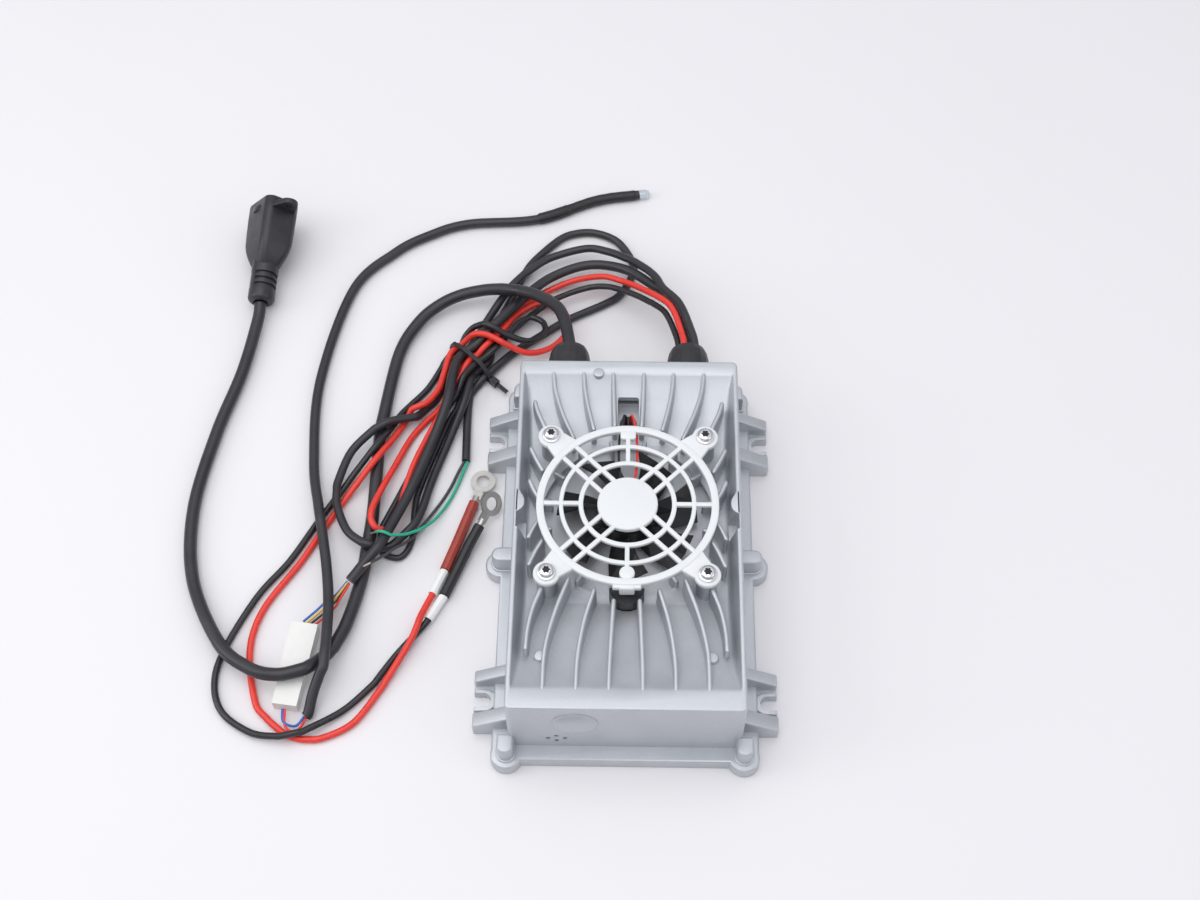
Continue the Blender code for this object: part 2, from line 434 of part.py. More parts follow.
def link(name, mesh, surface=None):
    item = bpy.data.objects.new(name, mesh)
    bpy.context.scene.collection.objects.link(item)
    if surface:
        mesh.materials.append(surface)
    return item


def mesh_from(name, points, faces):
    mesh = bpy.data.meshes.new(name)
    mesh.from_pydata([tuple(point) for point in points], [], faces)
    mesh.validate()
    shell = bmesh.new()
    shell.from_mesh(mesh)
    bmesh.ops.recalc_face_normals(shell, faces=shell.faces)
    if shell.calc_volume(signed=True) < 0:
        bmesh.ops.reverse_faces(shell, faces=shell.faces)
    shell.to_mesh(mesh)
    shell.free()
    return mesh


def loft(name, sections, surface=None):
    """A closed solid through rings of points that all have the same count."""
    count = len(sections[0])
    points = [point for section in sections for point in section]
    faces = [tuple(range(count)), tuple(range(len(points) - count, len(points)))]
    for ring in range(len(sections) - 1):
        base = ring * count
        for index in range(count):
            following = (index + 1) % count
            faces.append((base + index, base + following,
                          base + count + following, base + count + index))
    return link(name, mesh_from(name, points, faces), surface)


def prism(name, outline, low, high, surface=None):
    """An outline in X and Y, raised from one height to another."""
    return loft(name, [[(x, y, z) for x, y in outline] for z in (low, high)], surface)


def box(name, low, high, surface=None):
    (x0, y0, z0), (x1, y1, z1) = low, high
    return prism(name, [(x0, y0), (x1, y0), (x1, y1), (x0, y1)], z0, z1, surface)


def circle(centre, radius, sides, start=0.0):
    return [(centre[0] + radius * math.cos(start + 2 * math.pi * step / sides),
             centre[1] + radius * math.sin(start + 2 * math.pi * step / sides))
            for step in range(sides)]


def cylinder(name, centre, radius, low, high, sides=20, surface=None):
    return prism(name, circle(centre, radius, sides), low, high, surface)


def turned(name, profile, sides, surface=None):
    """A solid turned about Z from a closed outline of (radius, height) points."""
    on_axis = [radius < 1e-7 for radius, _ in profile]
    points, rings = [], []
    for (radius, height), centred in zip(profile, on_axis):
        if centred:
            rings.append([len(points)] * sides)
            points.append((0.0, 0.0, height))
            continue
        rings.append(list(range(len(points), len(points) + sides)))
        points += [(x, y, height) for x, y in circle((0, 0), radius, sides)]
    faces = []
    for index in range(len(profile)):
        following = (index + 1) % len(profile)
        if on_axis[index] and on_axis[following]:
            continue
        for step in range(sides):
            after = (step + 1) % sides
            corners = [rings[index][step], rings[index][after],
                       rings[following][after], rings[following][step]]
            face = [corner for place, corner in enumerate(corners) if corner not in corners[:place]]
            faces.append(tuple(face))
    return link(name, mesh_from(name, points, faces), surface)


def ring_solid(name, centre, inner, outer, low, high, sides, surface=None):
    made = turned(name, [(inner, low), (outer, low), (outer, high), (inner, high)], sides, surface)
    made.data.transform(Matrix.Translation((centre[0], centre[1], 0)))
    return made


def rounded_rectangle(half_x, half_y, radius, steps=3):
    outline = []
    for quarter, (sx, sy) in enumerate([(1, 1), (-1, 1), (-1, -1), (1, -1)]):
        for step in range(steps + 1):
            angle = math.pi / 2 * (quarter + step / steps)
            outline.append((sx * (half_x - radius) + radius * math.cos(angle),
                            sy * (half_y - radius) + radius * math.sin(angle)))
    return outline


def combine(target, operation, pieces, solver="EXACT"):
    """Join pieces to a solid, or cut them out of it, with one Boolean modifier."""
    group = bpy.data.collections.new(f"{target.name}_{operation.lower()}_{len(target.modifiers)}")
    bpy.context.scene.collection.children.link(group)
    for piece in pieces:
        bpy.context.scene.collection.objects.unlink(piece)
        group.objects.link(piece)
        piece.hide_render = True
        piece.display_type = "WIRE"
    change = target.modifiers.new(operation.title(), "BOOLEAN")
    change.operation = operation
    change.operand_type = "COLLECTION"
    change.collection = group
    change.solver = solver


def smooth(item, angle=35.0):
    item.data.shade_smooth()
    item.data.set_sharp_from_angle(angle=math.radians(angle))


def tray_floor(y):
    """Height of the tray's floor, which rises to the top face at both ends."""
    if y < NEAR_TRAY_END + NEAR_SLOPE:
        share = (NEAR_TRAY_END + NEAR_SLOPE - y) / NEAR_SLOPE
    elif y > FAR_TRAY_END - FAR_SLOPE:
        share = (y - FAR_TRAY_END + FAR_SLOPE) / FAR_SLOPE
    else:
        share = 0.0
    share = min(share, 1.0)
    curve = 0.75 * share + 0.25 * share * share
    return TRAY_FLOOR + (HOUSING_HEIGHT - TRAY_FLOOR) * curve


def tray_stations():
    near = [NEAR_TRAY_END + NEAR_SLOPE * step / SLOPE_STEPS for step in range(SLOPE_STEPS + 1)]
    far = [FAR_TRAY_END - FAR_SLOPE * step / SLOPE_STEPS for step in range(SLOPE_STEPS + 1)]
    return near + far[::-1]


def tray_cutter():
    """Drafted pocket between the rims, whose floor rises to nothing at both ends."""
    above = HOUSING_HEIGHT + 2 * MM
    rim_inside = HALF_WIDTH - RIM
    sections = []
    for y in tray_stations():
        floor = tray_floor(y)
        half = rim_inside - RIM_DRAFT * (HOUSING_HEIGHT - floor)
        sections.append([(-half, y, floor), (half, y, floor),
                         (rim_inside, y, HOUSING_HEIGHT), (rim_inside, y, above),
                         (-rim_inside, y, above), (-rim_inside, y, HOUSING_HEIGHT)])
    return loft("tray_cutter", sections)


def fin(name, path):
    """A drafted fin along a path, from below the tray floor to the top."""
    top = HOUSING_HEIGHT - FIN_TOP_DROP
    half = FIN_THICKNESS / 2
    root = half + FIN_ROOT_GROWTH / 2
    points = [Vector((x, y)) for x, y in path]
    sections = []
    for index, point in enumerate(points):
        before = points[max(index - 1, 0)]
        after = points[min(index + 1, len(points) - 1)]
        along = (after - before).normalized()
        across = Vector((-along.y, along.x))
        bottom = tray_floor(point.y) - FIN_SINK
        profile = [(-root, bottom), (root, bottom), (half, top - FIN_TOP_CHAMFER),
                   (half - FIN_TOP_CHAMFER, top), (FIN_TOP_CHAMFER - half, top),
                   (-half, top - FIN_TOP_CHAMFER)]
        sections.append([(point.x + across.x * side, point.y + across.y * side, height)
                         for side, height in profile])
    return loft(name, sections)


def smooth_curve(points):
    """A dense line along the smooth curve through the given points."""
    known = [Vector(point) for point in points]
    known = [2 * known[0] - known[1]] + known + [2 * known[-1] - known[-2]]
    dense = []
    for index in range(1, len(known) - 2):
        p0, p1, p2, p3 = known[index - 1:index + 3]
        for step in range(CURVE_STEPS):
            t = step / CURVE_STEPS
            dense.append(0.5 * ((2 * p1) + (p2 - p0) * t
                                + (2 * p0 - 5 * p1 + 4 * p2 - p3) * t ** 2
                                + (3 * p1 - p0 - 3 * p2 + p3) * t ** 3))
    return dense + [known[-2]]


def smooth_path(points, count):
    """Points read at equal steps from a smooth curve through the given ones."""
    dense = smooth_curve(points)
    lengths = [0.0]
    for before, after in zip(dense, dense[1:]):
        lengths.append(lengths[-1] + (after - before).length)
    result, place = [], 0
    for step in range(count):
        target = lengths[-1] * step / (count - 1)
        while place < len(lengths) - 2 and lengths[place + 1] < target:
            place += 1
        span = lengths[place + 1] - lengths[place]
        share = (target - lengths[place]) / span if span else 0.0
        result.append(dense[place].lerp(dense[place + 1], share))
    return result


def foot_shapes(name, inset, low, high):
    """The foot's plan, a rectangle with a round lug at each screw, as overlapping solids."""
    half_x = FOOT_WIDTH / 2 - inset
    half_y = FOOT_LENGTH / 2 - inset
    pieces = [box(f"{name}_plan", (-half_x, -half_y, low), (half_x, half_y, high))]
    for index, centre in enumerate(LUG_CENTRES):
        pieces.append(cylinder(f"{name}_lug_{index}", centre, LUG_RADIUS - inset, low, high, 18))
    return pieces


def lug_boss(index, centre):
    """A screw boss that stands on its lug and runs back into the wall."""
    x, y = centre
    if abs(y) > HALF_LENGTH:
        away = Vector((0, math.copysign(1, y)))
        back = abs(y) - HALF_LENGTH + WALL
    else:
        away = Vector((math.copysign(1, x), 0))
        back = abs(x) - HALF_WIDTH + WALL
    across = Vector((-away.y, away.x))
    sections = []
    for height, radius in ((FOOT_HEIGHT - 1 * MM, LUG_BOSS_RADIUS),
                           (LUG_BOSS_TOP - LUG_BOSS_CHAMFER, LUG_BOSS_RADIUS),
                           (LUG_BOSS_TOP, LUG_BOSS_RADIUS - LUG_BOSS_CHAMFER)):
        outline = [Vector(centre) - away * back + across * radius,
                   Vector(centre) - away * back - across * radius]
        for step in range(8):
            angle = math.pi * (step / 7 - 0.5)
            outline.append(Vector(centre) + away * radius * math.cos(angle)
                           + across * radius * math.sin(angle))
        sections.append([(point.x, point.y, height) for point in outline])
    return loft(f"lug_boss_{index}", sections)


def bracket(index, side, end):
    """An open mounting slot between two ribs that slope down from the wall."""
    y_far = end * BRACKET_Y + BRACKET_LENGTH / 2
    y_near = end * BRACKET_Y - BRACKET_LENGTH / 2
    inside = HALF_WIDTH - WALL / 2
    pieces = [box(f"bracket_plate_{index}", (min(side * inside, side * BRACKET_REACH), y_near, 0),
                  (max(side * inside, side * BRACKET_REACH), y_far, BRACKET_PLATE))]
    for part, low, high in (("near", y_near, y_near + OUTER_RIB),
                            ("far", y_far - INNER_RIB, y_far)):
        profile = [(inside, 0), (BRACKET_REACH, 0), (BRACKET_REACH, RIB_TIP_HEIGHT),
                   (HALF_WIDTH, RIB_WALL_HEIGHT), (inside, RIB_WALL_HEIGHT)]
        pieces.append(loft(f"bracket_rib_{part}_{index}",
                           [[(side * x, y, z) for x, z in profile] for y in (low, high)]))
    return pieces


def slot_cutter(index, side, end):
    """The bracket's slot: a half-round inner end, open outward."""
    radius = SLOT_WIDTH / 2
    centre_x = BRACKET_REACH - SLOT_DEPTH + radius
    centre_y = end * BRACKET_Y + (OUTER_RIB - INNER_RIB) / 2
    outline = [(BRACKET_REACH + radius, radius), (BRACKET_REACH + radius, -radius)]
    for step in range(9):
        angle = -math.pi / 2 - math.pi * step / 8
        outline.append((centre_x + radius * math.cos(angle), radius * math.sin(angle)))
    return prism(f"slot_{index}", [(side * x, centre_y + y) for x, y in outline],
                 -1 * MM, FOOT_HEIGHT + RIB_WALL_HEIGHT)


def ceiling_profile():
    """The inside of the roof: one wall below the tray floor, and flat under the fan well."""
    flat = WELL_FLOOR - WALL
    inside_near, inside_far = -HALF_LENGTH + WALL, HALF_LENGTH - WALL
    outline = [(inside_near, -1 * MM), (inside_far, -1 * MM), (inside_far, HOUSING_HEIGHT - WALL)]
    for y in tray_stations()[::-1]:
        height = min(tray_floor(y) - WALL, HOUSING_HEIGHT - WALL)
        if -WELL_RADIUS - NEAR_NOTCH_RADIUS - WALL < y - FAN_Y < WELL_RADIUS + WALL:
            height = flat
        outline.append((y, height))
    outline.append((inside_near, HOUSING_HEIGHT - WALL))
    return outline


def mirrored_paths(paths):
    return paths + [[(-x, y) for x, y in path] for path in paths]


def fin_paths():
    """Plan of the fins on the right half: they run along Y and bow in towards the fan."""
    near_tip = NEAR_TRAY_END - 1.5 * MM
    far_tip = FAR_TRAY_END + 1.5 * MM
    return {
        "near": [
            [(41.5 * MM, near_tip), (41.0 * MM, -72 * MM), (37.0 * MM, -52 * MM), (30.3 * MM, -31.5 * MM)],
            [(24.9 * MM, near_tip), (24.4 * MM, -75 * MM), (21.5 * MM, -55 * MM), (16.8 * MM, -37.5 * MM)],
            [(8.5 * MM, near_tip), (8.3 * MM, -80 * MM), (7.6 * MM, -62 * MM), (6.7 * MM, -43.5 * MM)],
            [(50.6 * MM, -70.5 * MM), (50.0 * MM, -60 * MM), (47.8 * MM, -48 * MM), (44.0 * MM, -37 * MM)],
        ],
        "far": [
            [(41.6 * MM, far_tip), (40.2 * MM, 85 * MM), (36.0 * MM, 70 * MM), (29.6 * MM, 54.0 * MM)],
            [(24.9 * MM, far_tip), (24.0 * MM, 86 * MM), (22.0 * MM, 74 * MM), (18.6 * MM, 59.5 * MM)],
            [(8.4 * MM, far_tip), (8.3 * MM, 88 * MM), (7.9 * MM, 76 * MM), (7.3 * MM, 62.0 * MM)],
            [(51.0 * MM, 76.5 * MM), (49.5 * MM, 71 * MM), (47.5 * MM, 66 * MM), (45.2 * MM, 60.5 * MM)],
        ],
        "side": [
            [(52.0 * MM, 46.5 * MM), (49.0 * MM, 40 * MM), (45.6 * MM, 33.5 * MM)],
            [(52.0 * MM, 26.5 * MM), (49.6 * MM, 21 * MM), (47.0 * MM, 16.5 * MM)],
            [(51.4 * MM, -7.0 * MM), (49.0 * MM, -1.5 * MM), (46.4 * MM, 3.0 * MM)],
            [(50.6 * MM, -23.0 * MM), (47.6 * MM, -15.5 * MM), (44.4 * MM, -9.5 * MM)],
        ]}


def make_fins():
    made = []
    for family, paths in fin_paths().items():
        count = 3 if family == "side" else 5
        for index, path in enumerate(mirrored_paths(paths)):
            made.append(fin(f"{family}_fin_{index}", smooth_path(path, count)))
    return made


def well_fins():
    """Short radial fins on the wall of the well, below the guard's outer ring."""
    made = []
    for index in range(16):
        angle = 2 * math.pi * (index + 0.5) / 16
        out = Vector((math.cos(angle), math.sin(angle)))
        if out.y < -0.9:
            continue
        across = Vector((-out.y, out.x)) * FIN_THICKNESS / 2
        centre = Vector((0, FAN_Y))
        plan = [centre + out * (IMPELLER_RADIUS + 3 * MM) + across,
                centre + out * (IMPELLER_RADIUS + 3 * MM) - across,
                centre + out * (WELL_RADIUS + 1 * MM) - across,
                centre + out * (WELL_RADIUS + 1 * MM) + across]
        made.append(prism(f"well_fin_{index}", plan, WELL_FLOOR - 1 * MM, TRAY_FLOOR + 6 * MM))
    return made


def rim_boss(index, side):
    """A half-round boss that widens the rim inward, with its flat side in the wall."""
    outline = []
    for step in range(RIM_BOSS_SIDES + 1):
        angle = math.pi * (0.5 + step / RIM_BOSS_SIDES)
        outline.append((side * (HALF_WIDTH - RIM_BOSS_INSET + RIM_BOSS_RADIUS * math.cos(angle)),
                        RIM_BOSS_Y + RIM_BOSS_RADIUS * math.sin(angle)))
    return prism(f"rim_boss_{index}", outline, TRAY_FLOOR - 2 * MM, HOUSING_HEIGHT - 0.1 * MM)


def make_housing(surface):
    body = prism("housing", rounded_rectangle(HALF_WIDTH, HALF_LENGTH, HOUSING_CORNER_RADIUS),
                 0, HOUSING_HEIGHT, surface)
    combine(body, "UNION", foot_shapes("foot", 0, 0, FOOT_HEIGHT)
            + [lug_boss(index, centre) for index, centre in enumerate(LUG_CENTRES)]
            + [piece for index, (side, end) in enumerate([(1, 1), (-1, 1), (1, -1), (-1, -1)])
               for piece in bracket(index, side, end)])
    cavity = [(-HALF_WIDTH + WALL, y, z) for y, z in ceiling_profile()]
    cavity_far = [(HALF_WIDTH - WALL, y, z) for y, z in ceiling_profile()]
    combine(body, "DIFFERENCE", [tray_cutter(), loft("cavity", [cavity, cavity_far])]
            + foot_shapes("cover_recess", COVER_INSET - SEAT_GAP, -1 * MM, COVER_SEAT)
            + [slot_cutter(index, side, end)
               for index, (side, end) in enumerate([(1, 1), (-1, 1), (1, -1), (-1, -1)])])

    pocket_block = box("pocket_block",
                       (-POCKET_HALF_WIDTH - WALL, POCKET_NEAR - WALL, POCKET_FLOOR - WALL),
                       (POCKET_HALF_WIDTH + WALL, POCKET_FAR + WALL, TRAY_FLOOR + 1 * MM))
    posts = [cylinder(f"board_post_{index}", (x, y), BOARD_POST_RADIUS, BOARD_TOP + SEAT_GAP,
                      tray_floor(y) - WALL / 2, 12)
             for index, (x, y) in enumerate(BOARD_SCREW_CENTRES)]
    fan_bosses = [cylinder(f"fan_boss_{index}", centre, FAN_BOSS_RADIUS, TRAY_FLOOR - 2 * MM,
                           FAN_BOSS_TOP, 14) for index, centre in enumerate(FAN_SCREW_CENTRES)]
    rim_bosses = [rim_boss(index, side) for index, side in enumerate((-1, 1))]
    front_disc = cylinder("front_disc", (FRONT_DISC_X, FRONT_DISC_Z), FRONT_DISC_RADIUS,
                          HALF_LENGTH - 1 * MM, HALF_LENGTH + FRONT_DISC_HEIGHT, 24)
    front_disc.data.transform(Matrix.Rotation(math.radians(90), 4, "X"))
    pin_marks = [cylinder(f"pin_mark_{index}", (x, y), PIN_MARK_RADIUS, tray_floor(y) - 2 * MM,
                          tray_floor(y) + 1.0 * MM, 10)
                 for index, (x, y) in enumerate(PIN_MARKS)]
    combine(body, "UNION", [pocket_block, front_disc] + posts + fan_bosses + pin_marks + make_fins())

    well = cylinder("well", (0, FAN_Y), WELL_RADIUS, WELL_FLOOR, HOUSING_HEIGHT + 2 * MM, 40)
    near_notch = cylinder("near_notch", (0, FAN_Y - WELL_RADIUS + 2 * MM), NEAR_NOTCH_RADIUS,
                          WELL_FLOOR + 1 * MM, HOUSING_HEIGHT + 2 * MM, 14)
    pocket = box("pocket", (-POCKET_HALF_WIDTH, POCKET_NEAR, POCKET_FLOOR),
                 (POCKET_HALF_WIDTH, POCKET_FAR, HOUSING_HEIGHT + 2 * MM))
    wire_hole = cylinder("wire_hole", (0, WIRE_HOLE_Y), WIRE_HOLE_RADIUS, 0,
                         POCKET_FLOOR + 1 * MM, 16)
    fan_holes = [cylinder(f"fan_hole_{index}", centre, SCREW_SHANK_RADIUS + SEAT_GAP,
                          FAN_BOSS_TOP - FAN_SCREW_REACH - 1 * MM, FAN_BOSS_TOP + 2 * MM, 8)
                 for index, centre in enumerate(FAN_SCREW_CENTRES)]
    cover_holes = [cylinder(f"cover_hole_{index}", centre, SCREW_SHANK_RADIUS + SEAT_GAP,
                            0, COVER_SCREW_LENGTH + 1 * MM, 8)
                   for index, centre in enumerate(LUG_CENTRES)]
    board_holes = [cylinder(f"board_hole_{index}", centre, BOARD_SCREW_RADIUS + SEAT_GAP,
                            0, BOARD_TOP + BOARD_SCREW_REACH + 1 * MM, 8)
                   for index, centre in enumerate(BOARD_SCREW_CENTRES)]
    gland_holes = []
    for index, x in enumerate((-GLAND_X, GLAND_X)):
        hole = cylinder(f"gland_hole_{index}", (x, GLAND_Z), GLAND_THREAD_RADIUS + SEAT_GAP,
                        -HALF_LENGTH - 2 * MM, -HALF_LENGTH + WALL + 2 * MM, 16)
        hole.data.transform(Matrix.Rotation(math.radians(90), 4, "X"))
        gland_holes.append(hole)
    vents = []
    for index, (dx, dz) in enumerate(((-1, 0), (1, 0), (0, -1), (0, 1))):
        vent = cylinder(f"vent_{index}", (VENT_X + dx * VENT_STEP_X, VENT_Z + dz * VENT_STEP_Z),
                        VENT_RADIUS, HALF_LENGTH - WALL - 2 * MM, HALF_LENGTH + 2 * MM, 8)
        vent.data.transform(Matrix.Rotation(math.radians(90), 4, "X"))
        vents.append(vent)
    notches = [box(f"rim_notch_{index}",
                   (side * (HALF_WIDTH - RIM) - RIM_NOTCH_DEPTH, RIM_BOSS_Y - RIM_BOSS_RADIUS
                    - RIM_NOTCH_LENGTH, TRAY_FLOOR + 1 * MM),
                   (side * (HALF_WIDTH - RIM) + RIM_NOTCH_DEPTH, RIM_BOSS_Y,
                    HOUSING_HEIGHT + 1 * MM)) for index, side in enumerate((-1, 1))]
    combine(body, "DIFFERENCE", [well, near_notch, pocket, wire_hole] + fan_holes + cover_holes
            + board_holes + gland_holes + vents + notches)
    combine(body, "UNION", well_fins() + rim_bosses)
    return body


def make_cover(surface):
    pieces = foot_shapes("bottom_cover", COVER_INSET, 0, COVER_THICKNESS)
    cover = pieces[0]
    cover.name = "bottom_cover"
    cover.data.materials.append(surface)
    combine(cover, "UNION", pieces[1:])
    holes = []
    for index, centre in enumerate(LUG_CENTRES):
        widest = SCREW_HEAD_RADIUS + SEAT_GAP + 0.3 * MM
        hole = turned(f"countersink_{index}",
                      [(0, -1 * MM), (widest, -1 * MM), (widest, 0.3 * MM),
                       (SCREW_SHANK_RADIUS + SEAT_GAP, SCREW_HEAD_HEIGHT + 0.3 * MM),
                       (SCREW_SHANK_RADIUS + SEAT_GAP, COVER_THICKNESS + 1 * MM),
                       (0, COVER_THICKNESS + 1 * MM)], 10)
        hole.data.transform(Matrix.Translation((*centre, 0)))
        holes.append(hole)
    combine(cover, "DIFFERENCE", holes)
    return cover


def make_gasket(surface):
    low = COVER_THICKNESS + SEAT_GAP
    high = low + GASKET_THICKNESS
    pieces = foot_shapes("cover_gasket", COVER_INSET, low, high)
    gasket = pieces[0]
    gasket.name = "cover_gasket"
    gasket.data.materials.append(surface)
    combine(gasket, "UNION", pieces[1:])
    window = box("gasket_window",
                 (-HALF_WIDTH + WALL, -HALF_LENGTH + WALL, low - 1 * MM),
                 (HALF_WIDTH - WALL, HALF_LENGTH - WALL, high + 1 * MM))
    holes = [cylinder(f"gasket_hole_{index}", centre, SCREW_SHANK_RADIUS + SEAT_GAP,
                      low - 1 * MM, high + 1 * MM, 8) for index, centre in enumerate(LUG_CENTRES)]
    combine(gasket, "DIFFERENCE", [window] + holes)
    return gasket


def make_cover_screws(surface):
    for index, centre in enumerate(LUG_CENTRES):
        screw = turned(f"cover_screw_{index + 1}",
                       [(0, 0.1 * MM), (SCREW_HEAD_RADIUS, 0.1 * MM),
                        (SCREW_SHANK_RADIUS, SCREW_HEAD_HEIGHT), (SCREW_SHANK_RADIUS, COVER_SCREW_LENGTH),
                        (0, COVER_SCREW_LENGTH)], 10, surface)
        screw.location = (*centre, 0)
        smooth(screw)


def bar(name, start, end, width, low, high):
    """A straight bar in plan between two points."""
    start, end = Vector(start), Vector(end)
    along = (end - start).normalized()
    across = Vector((-along.y, along.x)) * width / 2
    return prism(name, [start + across, start - across, end - across, end + across], low, high)


def make_guard(surface):
    """Fan guard: rings and bars, a disc that carries the motor, and four screw ears."""
    centre = Vector((0, FAN_Y))
    ring_middle = GUARD_RADIUS - GUARD_RING_WIDTH / 2
    grid_low = GUARD_TOP - GUARD_GRID_THICKNESS - 0.3 * MM
    grid_high = GUARD_TOP - 0.3 * MM
    guard = ring_solid("fan_guard", centre, GUARD_RADIUS - GUARD_RING_WIDTH, GUARD_RADIUS,
                       GUARD_BOTTOM, GUARD_TOP, 44, surface)
    pieces = [ring_solid("middle_ring", centre, MIDDLE_RING_INNER, MIDDLE_RING_OUTER,
                         grid_low, grid_high, 36),
              ring_solid("inner_ring", centre, INNER_RING_INNER, INNER_RING_OUTER,
                         grid_low, grid_high, 28),
              cylinder("guard_disc", centre, GUARD_DISC_RADIUS, GUARD_BOTTOM,
                       GUARD_TOP - 0.15 * MM, 28)]
    ring_inside = (INNER_RING_INNER + INNER_RING_OUTER) / 2
    for index, out in enumerate((Vector((1, 0)), Vector((0, 1)), Vector((-1, 0)), Vector((0, -1)))):
        pieces.append(bar(f"single_bar_{index}", centre + out * ring_inside, centre + out * ring_middle,
                          GUARD_BAR, grid_low + 0.2 * MM, grid_high - 0.1 * MM))
    for index, (x, y) in enumerate(FAN_SCREW_CENTRES):
        out = Vector((math.copysign(1, x), math.copysign(1, y - FAN_Y))).normalized()
        across = Vector((-out.y, out.x)) * GUARD_BAR_PAIR / 2
        for part, offset in enumerate((across, -across)):
            pieces.append(bar(f"pair_bar_{index}_{part}",
                              centre + out * (GUARD_DISC_RADIUS - 3 * MM) + offset,
                              centre + out * ring_middle + offset, GUARD_BAR,
                              grid_low + 0.2 * MM, grid_high - 0.1 * MM))
        ear_high = GUARD_TOP - 0.25 * MM
        pieces.append(cylinder(f"ear_{index}", (x, y), GUARD_EAR_RADIUS, GUARD_BOTTOM, ear_high, 16))
        pieces.append(bar(f"ear_neck_{index}", centre + out * ring_middle, Vector((x, y)),
                          GUARD_EAR_RADIUS * 1.9, GUARD_BOTTOM, ear_high - 0.1 * MM))
    pieces.append(bar("lead_tab", centre + Vector((0, MIDDLE_RING_OUTER + 3.4 * MM)),
                      centre + Vector((0, ring_middle)), GUARD_TAB_WIDTH + 0.4 * MM, GUARD_BOTTOM,
                      GUARD_TOP - 0.1 * MM))
    nose = centre + Vector((0, -MIDDLE_RING_OUTER - 4.6 * MM))
    pieces.append(cylinder("near_nose", nose, GUARD_TAB_WIDTH / 2, GUARD_BOTTOM,
                           GUARD_TOP - 0.1 * MM, 16))
    pieces.append(bar("near_tab", nose, centre + Vector((0, -ring_middle)), GUARD_TAB_WIDTH,
                      GUARD_BOTTOM, GUARD_TOP - 0.12 * MM))
    pieces.append(box("near_leg", (-GUARD_TAB_WIDTH / 2, FAN_Y - GUARD_RADIUS - 0.6 * MM,
                                   GUARD_BOTTOM - GUARD_TAB_DROP),
                      (GUARD_TAB_WIDTH / 2, FAN_Y - GUARD_RADIUS + 1.6 * MM, GUARD_BOTTOM + 1 * MM)))
    combine(guard, "UNION", pieces)
    holes = [cylinder(f"ear_hole_{index}", spot, SCREW_SHANK_RADIUS + SEAT_GAP,
                      GUARD_BOTTOM - 1 * MM, GUARD_TOP + 1 * MM, 8)
             for index, spot in enumerate(FAN_SCREW_CENTRES)]
    combine(guard, "DIFFERENCE", holes)
    smooth(guard)
    return guard


def make_fan_screws(surface):
    """Pan-head screws with a captive washer and a six-lobe socket."""
    seat = GUARD_TOP - 0.25 * MM + SEAT_GAP
    for index, centre in enumerate(FAN_SCREW_CENTRES):
        top = seat + FAN_WASHER_THICKNESS + FAN_SCREW_HEAD_HEIGHT
        shoulder = seat + FAN_WASHER_THICKNESS
        tip = FAN_BOSS_TOP - FAN_SCREW_REACH
        profile = [(0, tip), (SCREW_SHANK_RADIUS, tip), (SCREW_SHANK_RADIUS, seat),
                   (FAN_WASHER_RADIUS, seat), (FAN_WASHER_RADIUS, shoulder),
                   (FAN_SCREW_HEAD_RADIUS, shoulder), (FAN_SCREW_HEAD_RADIUS, shoulder + 1.1 * MM),
                   (FAN_SCREW_HEAD_RADIUS * 0.72, top), (SOCKET_RADIUS, top),
                   (SOCKET_RADIUS, top - SOCKET_DEPTH), (0, top - SOCKET_DEPTH)]
        screw = turned(f"fan_screw_{index + 1}", profile, 10, surface)
        screw.location = (*centre, 0)
        smooth(screw)


def blade(index):
    """One fan blade, twisted from root to tip."""
    angle = 2 * math.pi * index / BLADE_COUNT
    middle = HUB_BOTTOM + BLADE_BOTTOM_GAP + BLADE_HEIGHT / 2
    sections = []
    for share in (0.0, 0.5, 1.0):
        radius = HUB_RADIUS - 0.8 * MM + (IMPELLER_RADIUS - HUB_RADIUS + 0.8 * MM) * share
        pitch = math.radians(BLADE_ROOT_PITCH + (BLADE_TIP_PITCH - BLADE_ROOT_PITCH) * share)
        chord = BLADE_CHORD * (0.72 + 0.45 * share)
        ring = []
        for along, side in ((-0.5, -0.5), (0.0, -1.2), (0.5, -0.5), (0.5, 0.5), (0.0, -0.2), (-0.5, 0.5)):
            run = along * chord
            rise = side * BLADE_THICKNESS
            turn = (run * math.cos(pitch) - rise * math.sin(pitch)) / radius
            height = run * math.sin(pitch) + rise * math.cos(pitch)
            height = max(-BLADE_HEIGHT / 2, min(BLADE_HEIGHT / 2, height))
            ring.append((radius * math.cos(angle + turn + 0.25 * share),
                         FAN_Y + radius * math.sin(angle + turn + 0.25 * share), middle + height))
        sections.append(ring)
    return loft(f"blade_{index}", sections)


